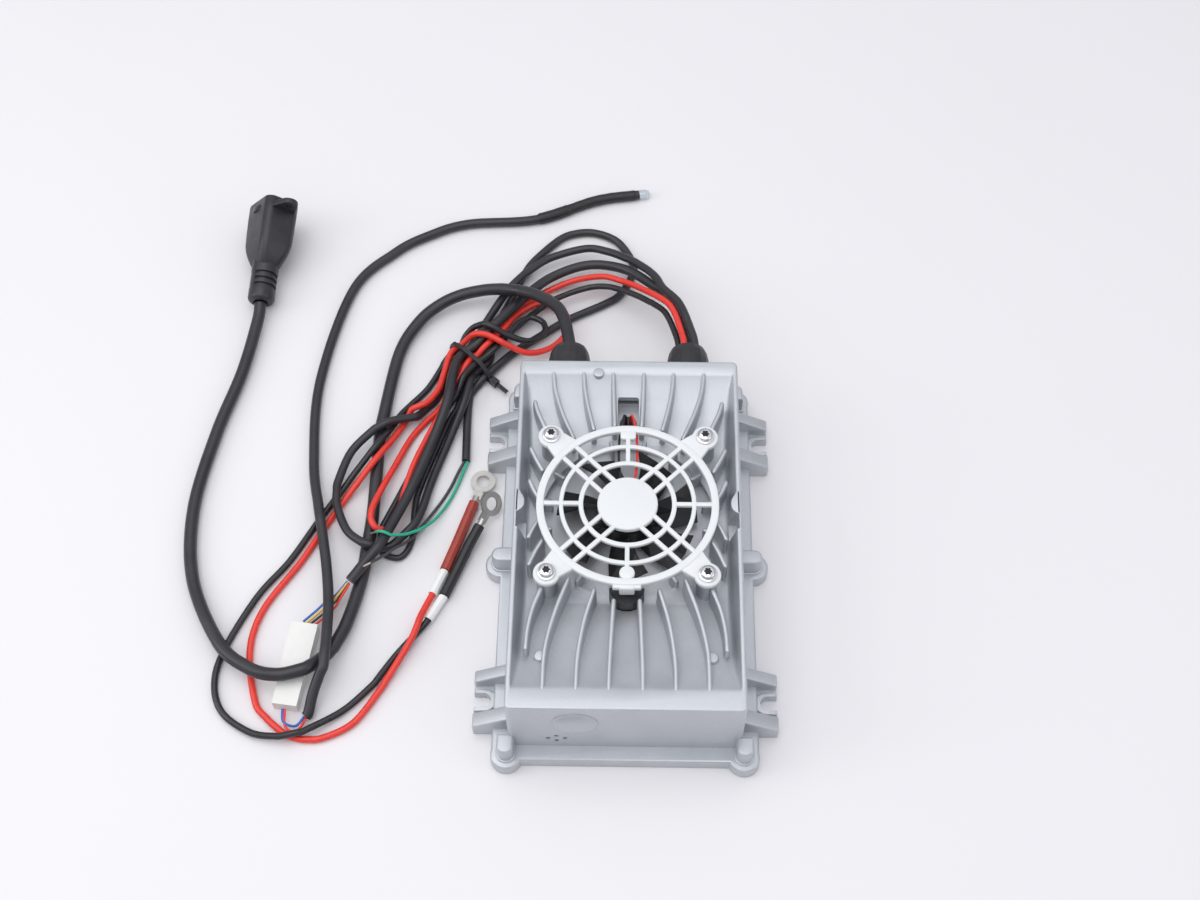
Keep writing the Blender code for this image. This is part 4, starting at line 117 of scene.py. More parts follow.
FIN_ROOT_HALF = 1.62 * MM
WALL = 3.2 * MM
FAN_SCREW_OFFSET = 41.25 * MM
FAN_SCREW_CENTRES = [(sx * FAN_SCREW_OFFSET, FAN_Y + sy * FAN_SCREW_OFFSET)
                     for sx in (-1, 1) for sy in (-1, 1)]
FAN_BOSS_RADIUS = 5.6 * MM
GUARD_BOTTOM = 56.6 * MM
GUARD_UNDER_EDGE = 0.3 * MM
# Inner and outer radius, low and high, and the rounding of each of the guard's rings, in millimetres
GUARD_RINGS = ((44.0, 48.0, 56.6, 59.8, 0.6), (33.8, 36.1, 57.3, 59.5, 0.4), (23.3, 25.8, 57.3, 59.5, 0.4))
HUB_RADIUS = 15.9 * MM
HUB_TOP = 59.65 * MM
HUB_EDGE = 0.9 * MM
BAR_HALF = 1.2 * MM
BAR_HEIGHTS = (57.35 * MM, 59.44 * MM)
BAR_PAIR_SHIFT = 4.75 * MM
EYE_RADIUS = 7.0 * MM
SCREW_SEAT = 59.85 * MM
CUT_BOTTOM = -1.0 * MM
CUT_TOP = 70.0 * MM
CURVE_STEPS = 24
ARC_STEPS = 16
SMOOTH_ANGLE = 40.0

# The cords' routes in millimetres, from where each leaves the object to its far end
MAINS_CABLE_ROUTE = [
    (-33.7, 107, 34), (-33.7, 127, 34), (-39.9, 155.5, 30.2), (-53.1, 171.5, 23.2),
    (-64.6, 179.2, 17.9), (-66.7, 180.2, 17.2), (-68.8, 181, 16.3), (-75.5, 183, 14.6),
    (-77.7, 183.4, 14), (-87, 184.1, 12), (-101.1, 182.2, 9.4), (-114.1, 176.1, 7.2),
    (-125.9, 164.4, 5.4), (-135.9, 142.4, 4.1), (-141.8, 98.2, 3.7), (-142.4, 90.7, 3.7),
    (-142.8, 83.2, 3.6), (-142.4, 35.7, 3.6), (-143.8, 10.6, 3.6), (-145.4, -9.4, 3.8),
    (-150.3, -34.3, 5.6), (-155.4, -48.4, 7.1), (-156.6, -50.5, 7.4), (-157.9, -52.6, 7.7),
    (-159.2, -54.5, 8.1), (-162.2, -58.1, 9.3), (-165, -61.3, 11.3), (-166.4, -62.8, 12.2),
    (-170, -65.4, 13.4), (-183.3, -68.5, 13.4), (-198.7, -63.9, 11), (-217.4, -48, 8.1),
    (-237.6, -8.2, 4.4), (-243.4, 36.5, 3.7), (-237.2, 86.1, 3.7), (-227.6, 127.4, 4.6),
    (-222.6, 163.4, 6.2), (-221.9, 175.1, 8.4)]
LAMP_CABLE_ROUTE = [
    (-167, -87.3, 3), (-165.8, -85.4, 4), (-163.8, -76.6, 8.3), (-160.7, -68.1, 12.7),
    (-158.8, -63.9, 14.9), (-158.6, -56.3, 15.9), (-159, -46.2, 14.1), (-160.7, -23.7, 10.4),
    (-164.4, -0.8, 8.1), (-169.3, 21.7, 7.6), (-170.5, 26.6, 7.7), (-171, 29.1, 7.7),
    (-172.7, 36.4, 7.1), (-179.1, 68.4, 3.7), (-181.2, 123.7, 3), (-167.8, 189.9, 3),
    (-144.5, 218.8, 3), (-123.8, 232.8, 3), (-100.5, 241.8, 3), (-58.3, 246, 3), (-21.4, 261.4, 3),
    (5.6, 266.6, 3)]
DC_POSITIVE_ROUTE = [
    (31.5, 107, 37.6), (31.5, 127, 37.6), (30.2, 136.4, 36.7), (25.4, 155.2, 33.5), (19.2, 165.4, 30),
    (5.1, 180.5, 21.4), (-1.9, 186.6, 17.6), (-3.8, 188, 16.7), (-5.8, 189.4, 15.9), (-16.3, 195, 12.2),
    (-32.9, 196.2, 6.4), (-49.1, 190.8, 2.9), (-61.3, 181.9, 2.1), (-63.1, 180.1, 2.2),
    (-65, 178.1, 2.2), (-71.6, 169.5, 3.3), (-75.8, 162.5, 5.5), (-80.2, 155.5, 7.6),
    (-83.9, 151.8, 6.3), (-91.7, 142.4, 3.2), (-98.3, 135.2, 3.1), (-100.2, 130.9, 2.5),
    (-102.8, 116.5, 2), (-104.6, 112, 1.9), (-106.1, 110.1, 1.9), (-107.6, 108.2, 1.9),
    (-113.4, 100.5, 1.9), (-116.6, 96.9, 1.9), (-124.9, 84.6, 2.1), (-133.6, 61.5, 4.8),
    (-138.1, 47.1, 8.5), (-141.8, 34.8, 10.1), (-142.2, 27.5, 10.1), (-140.3, 23.4, 9.6),
    (-138.7, 22.1, 8.7), (-134.6, 21.8, 6.9), (-132.7, 23, 6.2), (-131.1, 24.6, 5.7),
    (-129.1, 28.9, 5.1), (-127.7, 36, 4.8), (-122.1, 62, 6.6), (-114.8, 83.2, 6.6), (-110, 94.5, 7),
    (-107.5, 101.4, 7.7), (-105.9, 108.8, 8.2), (-104.4, 113.9, 7.6), (-101, 120.9, 6.8),
    (-97.6, 127.8, 7.3), (-95.4, 132.1, 8.4), (-92.8, 136, 8.7), (-90.9, 137.6, 8.7), (-89, 139, 8.9),
    (-85.9, 141.8, 11.4), (-82.5, 145.5, 12.2), (-77.9, 151.6, 10.6), (-73.8, 158.6, 9.4),
    (-68.9, 168.1, 7), (-61.8, 175.8, 5), (-55.5, 180, 3.7), (-48.1, 180.4, 2.8), (-43.9, 177.7, 3.9),
    (-39.2, 171.8, 6.5), (-37.9, 169.6, 7.5), (-36.9, 167.2, 7.5), (-36.9, 157.9, 5.8),
    (-46.1, 147, 5.4), (-59.4, 141.3, 8), (-72.9, 143.8, 13.6), (-75, 144.5, 14.8),
    (-81.6, 147.4, 16.4), (-86.6, 148.5, 17), (-91.2, 149.4, 15.2), (-94.9, 148.9, 11.6),
    (-98.3, 147.3, 8), (-100.4, 146.1, 7.6), (-103.8, 142.6, 7.7), (-105.9, 137.8, 8),
    (-108.3, 124.9, 7.9), (-110.8, 114.8, 7.9), (-116.2, 106.3, 8.1), (-120.2, 103.5, 8.4),
    (-124.7, 101.9, 7.1), (-126.3, 100.6, 5.5), (-128.1, 96.6, 3.4), (-134.2, 83, 5.6),
    (-138.5, 73.7, 8.7), (-139.6, 71.4, 9.4), (-140.9, 69.1, 9.9), (-142.2, 66.8, 10.1),
    (-145.2, 62.5, 9.5), (-150.9, 54.7, 6.5), (-160.6, 40.6, 2.7), (-171.3, 20.9, 1.9),
    (-180.3, 3, 1.9), (-196.8, -24.9, 1.9), (-201.4, -49.2, 1.9), (-195.4, -78.2, 1.9),
    (-188, -88.2, 1.9), (-178.5, -96.2, 1.9), (-176.4, -97.5, 1.9), (-174.1, -98.3, 1.9),
    (-171.7, -99, 1.9), (-166.8, -99.8, 1.9), (-157, -98.7, 1.9), (-142, -90.1, 1.9),
    (-129.6, -71.5, 2.4), (-127.2, -67, 2.8), (-123.6, -60.5, 3.7), (-115.6, -45.6, 6.1),
    (-112.3, -36.6, 7.1), (-111.1, -31.8, 6.9), (-108.8, -24.7, 5.5), (-99.8, -1, 3.4),
    (-87.6, 37.3, 3.2)]
DC_NEGATIVE_ROUTE = [
    (28.8, 107, 32.8), (28.8, 127, 32.8), (26.4, 141.2, 31), (21.1, 157.3, 27.6), (14.1, 166.7, 23.6),
    (12.4, 168.4, 22.7), (10.8, 170, 21.9), (9.1, 171.7, 21.1), (3.8, 176.5, 18.7), (-3.7, 182.2, 15.5),
    (-5.5, 183.5, 14.6), (-7.4, 184.9, 13.7), (-13.5, 188.2, 11.2), (-22.8, 189.5, 8.8),
    (-34.7, 186.5, 7.2), (-45.6, 180.6, 7.6), (-47.7, 179.2, 7.5), (-49.7, 177.9, 6.7),
    (-55.7, 174, 4.6), (-65, 165.6, 3.2), (-71.8, 157.3, 4.3), (-78.1, 148.5, 6.6), (-81.7, 144.6, 7.5),
    (-83.8, 143, 7.3), (-85.8, 141.6, 6.1), (-88.8, 138.6, 3.4), (-92.1, 135.1, 3.1),
    (-93.8, 133.4, 3.2), (-95.8, 129, 2.9), (-96.8, 124.3, 2.6), (-98, 114.4, 2), (-98.6, 109.4, 1.9),
    (-100.1, 104.6, 1.9), (-104.9, 93.1, 1.9), (-117.3, 52.4, 1.9), (-119.3, 37.6, 1.9),
    (-119.6, 17.9, 1.9), (-124.9, 7.7, 1.9), (-133.5, 8.9, 1.9), (-136.1, 12.9, 1.9), (-136.9, 20, 1.9),
    (-136.7, 22.4, 1.9), (-136.6, 24.8, 1.9), (-136.3, 27.3, 1.9), (-125.4, 55.4, 1.9),
    (-111.4, 94, 2.3), (-109.1, 98.5, 2.7), (-107.6, 100.6, 2.9), (-104.9, 104.7, 3.8),
    (-102.5, 108.9, 4.8), (-99.9, 112.7, 6.5), (-98.3, 116.6, 8.8), (-95.8, 123.1, 10.9),
    (-90.2, 131.6, 9.9), (-84.6, 136.6, 9.7), (-77.8, 143.8, 10.6), (-69.6, 156.5, 8.5),
    (-65.8, 162.8, 7.9), (-60.1, 167.1, 7.4), (-57.8, 167.6, 7.3), (-51.8, 164.4, 7.4),
    (-49.9, 160.1, 7.8), (-49.9, 157.8, 8), (-52, 153.6, 8.5), (-59.9, 148.3, 10.2),
    (-71.3, 149.6, 14.1), (-79.9, 152.7, 17.9), (-84.6, 154.5, 18.3), (-86.7, 155.4, 17),
    (-92.6, 155.7, 12.5), (-97.2, 152.9, 7.6), (-99.1, 150.2, 4.2), (-100.3, 148.5, 3.3),
    (-103.8, 145.1, 3.2), (-106.8, 141.1, 3.2), (-109.3, 136.8, 2.7), (-111.1, 132.2, 2.4),
    (-117.7, 119, 2), (-126.5, 107.7, 2.3), (-131.8, 99.9, 3.5), (-135.7, 90.7, 5.4),
    (-138.5, 83.6, 8.5), (-142.3, 76.6, 10.1), (-146.7, 70.3, 8.8), (-155.4, 58.7, 4.5),
    (-159.4, 52.5, 3), (-163.4, 46.3, 2.1), (-173.2, 28.9, 1.9), (-186, 4.5, 1.9), (-201.5, -18.1, 1.9),
    (-215.4, -50.2, 1.9), (-217.8, -69.8, 1.9), (-211.4, -85.7, 2), (-195.2, -96.8, 2.9),
    (-180.8, -99.6, 5.3), (-178.4, -99.5, 5.8), (-175.9, -99.3, 6.3), (-173.5, -98.8, 6.6),
    (-171.1, -98.1, 6.5), (-168.8, -97.3, 6.1), (-166.6, -96.3, 5.5), (-148.3, -83.8, 2.4),
    (-134.5, -69.4, 1.9), (-131.6, -65.3, 1.9), (-129, -61, 1.9), (-122.2, -50.6, 1.9),
    (-113, -38.6, 2.1), (-108.2, -32.9, 3.2), (-106.9, -30.8, 3.2), (-104.4, -26.5, 3.3),
    (-96.7, -10.9, 3.4), (-91.1, 5.3, 4.3), (-84.1, 20.6, 6.5)]
PAIR_CABLE_ROUTE = [
    (37.6, 107, 37.2), (37.6, 127, 37.2), (35.5, 138.8, 36.4), (29.1, 160, 33.2), (19.8, 174.6, 28.5),
    (16.2, 183.7, 25.8), (11.5, 191.7, 22.6), (3.8, 200.6, 19), (2.1, 202.2, 18.2), (0.3, 203.8, 17.5),
    (-1.5, 205.3, 16.8), (-13.3, 213.6, 12.7), (-27, 218.1, 9.6), (-48.2, 212.5, 7.3),
    (-61.9, 201.4, 7.8), (-65.2, 197.6, 8.2), (-66.8, 195.7, 8.3), (-71.4, 189.8, 8.1),
    (-76.8, 181.8, 6.6), (-84, 169.1, 4.4), (-94, 148.5, 3.6), (-100.5, 140.9, 3.6),
    (-104.3, 134.9, 3.2), (-108.3, 121.2, 2.6), (-113, 110.4, 2.6), (-117.4, 105, 3),
    (-120.1, 101, 3.6), (-122.3, 97.1, 5.9), (-124.1, 95.9, 7.3), (-135.6, 91.2, 10.7),
    (-142.1, 87.6, 10.8), (-144.2, 86.2, 10.5), (-146.2, 84.8, 10.1), (-157.5, 72.1, 7.5),
    (-163.1, 53.4, 7.1), (-163.4, 46, 7.4), (-162.1, 36.2, 7.6), (-155.2, 20.7, 8.5),
    (-146.4, 12.7, 10.2), (-144.2, 11.7, 10.6), (-141.9, 11, 10.3), (-139.8, 10.8, 9.3),
    (-137.8, 10.7, 7.9), (-135.6, 10.7, 7.1), (-133.2, 11, 6.8), (-131.1, 11.9, 6.7), (-129, 13.1, 6.6),
    (-121.1, 21.7, 7.3), (-117.3, 27.8, 6.9), (-114.7, 37.1, 5.2), (-110.7, 56.5, 3.1),
    (-102.2, 84.7, 3.9), (-95.6, 104.6, 7.8), (-93.9, 112, 8.2), (-92.7, 120.3, 7.5),
    (-91.8, 125.7, 5.5), (-90.8, 128, 4.3), (-84.1, 136, 3.6), (-82, 140.7, 2.4), (-81.8, 145.8, 2.4),
    (-80.1, 153.2, 2.4), (-80.6, 160.7, 2.4), (-73.3, 179.4, 2.4), (-68.3, 193.5, 2.4),
    (-66.5, 198.2, 2.4), (-65.5, 200.5, 2.4), (-64.5, 202.8, 2.4), (-58.5, 213.7, 2.4),
    (-43.6, 230.3, 2.4), (-32.6, 235.6, 2.4), (-20.4, 235.7, 2.4), (-7.5, 229.2, 2.4),
    (1.3, 214.7, 2.4), (2.2, 205, 2.4), (-4.8, 189.6, 2.4), (-14.3, 181.8, 2.4), (-36.2, 169.8, 2.4),
    (-50.2, 159.4, 2.5), (-67.9, 145.4, 2.8), (-77.8, 134.4, 3.6), (-80.9, 130.6, 3.8),
    (-85.6, 125.2, 3.7), (-88.4, 121.9, 2.5), (-91.9, 116.1, 2.4), (-92.9, 111.7, 2.4),
    (-93.1, 97.2, 2.4), (-92.4, 69.8, 2.4)]
SIGNAL_CABLE_ROUTE = [
    (35.9, 107, 30.1), (35.9, 127, 30.1), (34.9, 136.6, 29.5), (31.4, 155.8, 27.4), (28.3, 164.9, 25.8),
    (23.6, 173.2, 23.4), (20.8, 176.8, 21.8), (15.6, 182, 19.6), (-2.2, 199, 13.9), (-25.2, 205.4, 9.7),
    (-48, 196.5, 8.2), (-63.9, 179.5, 10), (-65.3, 177.2, 10.3), (-66.8, 175.1, 11),
    (-69.7, 170.7, 12.2), (-77.4, 160.3, 13.6), (-83.8, 152.9, 12.7), (-89.9, 146.1, 9.9),
    (-95.4, 141.4, 9.2), (-98.9, 137.9, 9.2), (-100.9, 133.1, 10.1), (-101.8, 127.9, 11.3),
    (-102.7, 119.9, 12.6), (-103.2, 112.1, 13.4), (-103.8, 107.1, 13.4), (-105.1, 99.9, 12.9),
    (-111, 79.6, 10.2), (-121.4, 46.7, 9.9), (-131, 20.9, 11.6), (-135.5, 9, 13.6), (-138.5, 4.8, 12.9),
    (-141.6, 0.8, 12.1), (-150.2, -11.5, 10.1)]
SIGNAL_WIRES_ROUTE = [
    (-150.9, -12.3, 9.5), (-156.7, -19.9, 6.4), (-160, -23.5, 5.2), (-165.3, -28.7, 4.6),
    (-172.2, -35.4, 4.3)]
LAMP_WIRES_ROUTE = [
    (-167.3, -87.9, 3), (-170.7, -94, 3.7), (-175, -94.6, 4.5), (-178.2, -91.4, 4.3),
    (-179, -84.1, 4.2)]
GREEN_WIRE_ROUTE = [
    (-91.5, 69.2, 2.4), (-96.1, 54.6, 1.4), (-100.8, 43, 1.5), (-107.7, 30.4, 3.7), (-115, 21.9, 7.9),
    (-116.8, 20.5, 8.9), (-118.6, 19.1, 9.9), (-122.6, 16.7, 11.8), (-128.9, 14.4, 15.2),
    (-131, 14.6, 16.4), (-133.4, 15.3, 17.1), (-135.8, 16, 16.3), (-137.7, 16.5, 14.6)]
GREY_WIRE_ROUTE = [
    (-93.4, 69.2, 2.4), (-96.5, 62.2, 1.8), (-100.1, 52.9, 1.3), (-105.7, 41.8, 1.2),
    (-115.9, 23.6, 4.1), (-119.1, 17.6, 5.8), (-122, 14, 7.4), (-127.5, 9.4, 9.2), (-134.2, 2.2, 12.1),
    (-139.4, -2.7, 14.7)]


def soft_corners(corners, radius, steps=4):
    """A closed outline with each corner rounded; radius is one number or one for each corner."""
    radii = radius if hasattr(radius, "__len__") else [radius] * len(corners)
    result = []
    for index, corner in enumerate(corners):
        here = Vector(corner)
        before = Vector(corners[index - 1]) - here
        after = Vector(corners[(index + 1) % len(corners)]) - here
        half = before.angle(after) / 2
        reach = min(radii[index] / max(math.tan(half), 1e-4), 0.49 * before.length, 0.49 * after.length)
        if reach < 1e-6:
            result.append(here)
            continue
        start, end = before.normalized() * reach, after.normalized() * reach
        inside = (start + end) / 2
        centre = inside * (start.dot(start) / max(inside.dot(start), 1e-12))
        arc = (start - centre).length
        for step in range(steps + 1):
            turn = (start - centre).lerp(end - centre, step / steps)
            result.append(here + centre + turn.normalized() * arc)
    return result


def arc(centre, radius, start, stop, steps):
    """Points along an arc, between two angles in degrees, ends included."""
    angles = [math.radians(start + (stop - start) * step / steps) for step in range(steps + 1)]
    return [Vector((centre[0] + radius * math.cos(angle), centre[1] + radius * math.sin(angle)))
            for angle in angles]


def round_outline(centre, radius, sides):
    return arc(centre, radius, 0, 360, sides)[:-1]


def skin(sections, closed=False):
    """Points and faces of a solid through rings of points, capped unless it closes on itself."""
    count = len(sections[0])
    points = [tuple(point) for section in sections for point in section]
    faces = [] if closed else [tuple(range(count)), tuple(range(len(points) - count, len(points)))]
    rings = len(sections)
    for ring in range(rings if closed else rings - 1):
        base, above = ring * count, (ring + 1) % rings * count
        for index in range(count):
            following = (index + 1) % count
            faces.append((base + index, base + following, above + following, above + index))
    return points, faces


def prism(outline, low, high):
    """A straight solid with sharp edges from an outline."""
    return skin([[(*point, z) for point in outline] for z in (low, high)])


def inset_outline(outline, distance):
    """An outline moved inward by a distance, along its own normals."""
    area = sum(a.x * b.y - b.x * a.y for a, b in zip(outline, outline[1:] + outline[:1]))
    sign = 1 if area > 0 else -1
    result = []
    for index, point in enumerate(outline):
        before = (point - outline[index - 1]).normalized()
        after = (outline[(index + 1) % len(outline)] - point).normalized()
        normal = Vector((-before.y - after.y, before.x + after.x))
        if normal.length < 1e-6:
            normal = Vector((-after.y, after.x))
        result.append(point + normal.normalized() * distance * sign)
    return result


def slab(outline, low, high, edge=0.5 * MM, low_edge=0.0, steps=3):
    """An outline raised from low to high, with rounded top edges and, if asked, bottom edges."""
    outline = [Vector(point) for point in outline]
    sections = []
    if low_edge:
        for step in range(steps):
            angle = math.pi / 2 * step / steps
            ring = inset_outline(outline, low_edge * (1 - math.sin(angle)))
            sections.append([(*point, low + low_edge * (1 - math.cos(angle))) for point in ring])
    sections.append([(*point, low + low_edge) for point in outline])
    for step in range(steps + 1):
        angle = math.pi / 2 * step / steps
        ring = inset_outline(outline, edge * (1 - math.cos(angle)))
        sections.append([(*point, high - edge * (1 - math.sin(angle))) for point in ring])
    return skin(sections)


def spun(profile, sides, centre=(0, 0)):
    """A solid turned about Z from a closed outline of (radius, height) points."""
    sections = []
    for step in range(sides):
        angle = 2 * math.pi * step / sides
        sections.append([(centre[0] + max(radius, 1e-6) * math.cos(angle),
                          centre[1] + max(radius, 1e-6) * math.sin(angle), height)
                         for radius, height in profile])
    return skin(sections, closed=True)


def moved(shell, place):
    points, faces = shell
    return [tuple(place @ Vector(point)) for point in points], faces


def solid(name, shells, look, angle=SMOOTH_ANGLE):
    """One mesh object from closed shells, with faces out, smooth where it bends less than angle."""
    shape = bmesh.new()
    for points, faces in shells:
        part = bpy.data.meshes.new("part")
        part.from_pydata([tuple(point) for point in points], [], faces)
        piece = bmesh.new()
        piece.from_mesh(part)
        bmesh.ops.remove_doubles(piece, verts=piece.verts, dist=2e-6)
        bmesh.ops.dissolve_degenerate(piece, edges=piece.edges, dist=1e-6)
        bmesh.ops.recalc_face_normals(piece, faces=piece.faces)
        if piece.calc_volume(signed=True) < 0:
            bmesh.ops.reverse_faces(piece, faces=piece.faces)
        piece.to_mesh(part)
        piece.free()
        shape.from_mesh(part)
        bpy.data.meshes.remove(part)
    mesh = bpy.data.meshes.new(name)
    shape.to_mesh(mesh)
    shape.free()
    mesh.shade_smooth()
    mesh.set_sharp_from_angle(angle=math.radians(angle))
    mesh.materials.append(look)
    item = bpy.data.objects.new(name, mesh)
    bpy.context.scene.collection.objects.link(item)
    return item


def cut(item, shells, operation="DIFFERENCE"):
    """Cuts solids out of a piece one by one, or joins them to it, and keeps the result as its mesh."""
    for shell in shells:
        tool = solid("cutter", [shell], item.data.materials[0])
        change = item.modifiers.new("cut", "BOOLEAN")
        change.operation = operation
        change.object = tool
        change.solver = "EXACT"
        graph = bpy.context.evaluated_depsgraph_get()
        made = bpy.data.meshes.new_from_object(item.evaluated_get(graph))
        item.modifiers.clear()
        old = item.data
        item.data = made
        bpy.data.meshes.remove(old)
        bpy.data.objects.remove(tool, do_unlink=True)
    item.data.shade_smooth()
    item.data.set_sharp_from_angle(angle=math.radians(SMOOTH_ANGLE))


def join(name, items):
    """Several pieces as one object; their shells stay as they are."""
    first = items[0]
    with bpy.context.temp_override(active_object=first, object=first, selected_objects=items,
                                   selected_editable_objects=items):
        bpy.ops.object.join()
    first.name = name
    return first


def carry(item, body=CHARGER, nodes=()):
    """Puts a piece on a body of the frame and hides the imported nodes that it stands for."""
    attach(item, body)
    if nodes:
        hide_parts(*nodes)
    return item


def smooth_curve(points, steps=CURVE_STEPS):
    """A dense line along the smooth curve through the given points."""
    known = [Vector(point) for point in points]
    known = [2 * known[0] - known[1]] + known + [2 * known[-1] - known[-2]]
    dense = []
    for index in range(1, len(known) - 2):
        p0, p1, p2, p3 = known[index - 1:index + 3]
        for step in range(steps):
            t = step / steps
            dense.append(0.5 * ((2 * p1) + (p2 - p0) * t
                                + (2 * p0 - 5 * p1 + 4 * p2 - p3) * t ** 2
                                + (3 * p1 - p0 - 3 * p2 + p3) * t ** 3))
    return dense + [known[-2]]


def path_length(points):
    return sum((after - before).length for before, after in zip(points, points[1:]))


def even_points(points, step):
    """Points at about equal steps along a dense line."""
    total = path_length(points)
    count = max(2, round(total / step))
    result, walked, place = [points[0]], 0.0, 0
    for index in range(1, count):
        target = total * index / count
        while walked + (points[place + 1] - points[place]).length < target:
            walked += (points[place + 1] - points[place]).length
            place += 1
        length = (points[place + 1] - points[place]).length
        result.append(points[place].lerp(points[place + 1], (target - walked) / length))
    return result + [points[-1]]


def turning_frames(points):
    """A side and an up direction at each point of a path, that don't twist along it."""
    along = [(points[min(i + 1, len(points) - 1)] - points[max(i - 1, 0)]).normalized()
             for i in range(len(points))]
    side = along[0].cross(Vector((0, 0, 1)))
    if side.length < 1e-3:
        side = along[0].cross(Vector((0, 1, 0)))
    side.normalize()
    frames = []
    for direction in along:
        side = (side - direction * side.dot(direction)).normalized()
        frames.append((side, direction.cross(side) * -1))
    return frames


def tube_shell(points, radii, sides=16):
    """A round solid along a path; radii is one radius or one for each point."""
    if not hasattr(radii, "__len__"):
        radii = [radii] * len(points)
    sections = []
    for point, radius, (side, up) in zip(points, radii, turning_frames(points)):
        sections.append([point + (side * math.cos(angle) + up * math.sin(angle)) * radius
                         for angle in [2 * math.pi * step / sides for step in range(sides)]])
    return skin(sections)


def route_points(route):
    return [Vector(point) * MM for point in route]


def cord_curve(name, points, diameter, look, resolution=6):
    """A cord as a curve object with closed ends."""
    curve = bpy.data.curves.new(name, "CURVE")
    curve.dimensions = "3D"
    curve.bevel_depth = diameter / 2
    curve.bevel_resolution = resolution
    curve.use_fill_caps = True
    line = curve.splines.new("POLY")
    line.points.add(len(points) - 1)
    for place, point in zip(line.points, points):
        place.co = (*point, 1.0)
    line.use_smooth = True
    curve.materials.append(look)
    item = bpy.data.objects.new(name, curve)
    bpy.context.scene.collection.objects.link(item)
    return item


def part_of_path(points, start, stop):
    """The stretch of a path between two distances from its end."""
    backwards = even_points(points, 1 * MM)[::-1]
    walked, result = 0.0, []
    for before, after in zip(backwards, backwards[1:]):
        if start <= walked <= stop:
            result.append(before)
        walked += (after - before).length
    return result[::-1]


# Shares and depths of every finish
FINE_SHARE = 0.45
RELIEF_DEPTH = 0.12 * MM
COAT_ROUGHNESS = 0.12


def fill(tree, node, values):
    """Sets a shader node's inputs by name or number, or links them where the value is a socket."""
    for name, value in values.items():
        if isinstance(value, bpy.types.NodeSocket):
            tree.links.new(value, node.inputs[name])
        else:
            node.inputs[name].default_value = value
    return node


def add_node(tree, kind, values):
    return fill(tree, tree.nodes.new("ShaderNode" + kind), values)


def add_ramp(tree, height, low, high):
    """A colour ramp between two pairs of position and colour."""
    ramp = add_node(tree, "ValToRGB", {"Fac": height})
    for element, (position, colour) in zip(ramp.color_ramp.elements, (low, high)):
        element.position = position
        element.color = (*colour, 1.0)
    return ramp.outputs["Color"]


def finish(name, colour, roughness, metallic=0.0, tone=0.10, grain=0.6, patch=9.0, bump=0.10,
           rough_spread=0.08, coat=0.0, stretch=(1, 1, 1), clear=0.0):
    """A procedural finish: colour in broad patches and fine grain, uneven gloss and a fine relief.

    Tone is how far the colour strays, grain and patch are the sizes of its marks in millimetres.
    """
    look = bpy.data.materials.new(name)
    look.use_nodes = True
    tree = look.node_tree
    place = add_node(tree, "TexCoord", {})
    scaled = add_node(tree, "Mapping", {"Scale": stretch, "Vector": place.outputs["Object"]})
    broad, fine = [add_node(tree, "TexNoise", {"Scale": 1.0 / (size * MM), "Detail": detail,
                                               "Vector": scaled.outputs["Vector"]}).outputs["Fac"]
                   for size, detail in ((patch, 3.0), (grain, 2.0))]
    half = add_node(tree, "Math", {0: broad, 1: 1 - FINE_SHARE})
    half.operation = "MULTIPLY"
    both = add_node(tree, "Math", {0: fine, 1: FINE_SHARE, 2: half.outputs["Value"]})
    both.operation = "MULTIPLY_ADD"
    dark, bright = ([min(1.0, value * share) for value in colour] for share in (1 - tone, 1 + tone))
    gloss = add_node(tree, "MapRange", {
        "Value": broad, "From Min": 0.3, "From Max": 0.7,
        "To Min": max(0.03, roughness - rough_spread), "To Max": min(1.0, roughness + rough_spread)})
    relief = add_node(tree, "Bump", {"Strength": bump, "Distance": RELIEF_DEPTH, "Height": fine})
    fill(tree, tree.nodes["Principled BSDF"], {
        "Metallic": metallic, "Coat Weight": coat, "Coat Roughness": COAT_ROUGHNESS,
        "Transmission Weight": clear, "Roughness": gloss.outputs["Result"],
        "Base Color": add_ramp(tree, both.outputs["Value"], (0.34, dark), (0.66, bright)),
        "Normal": relief.outputs["Normal"]})
    return look


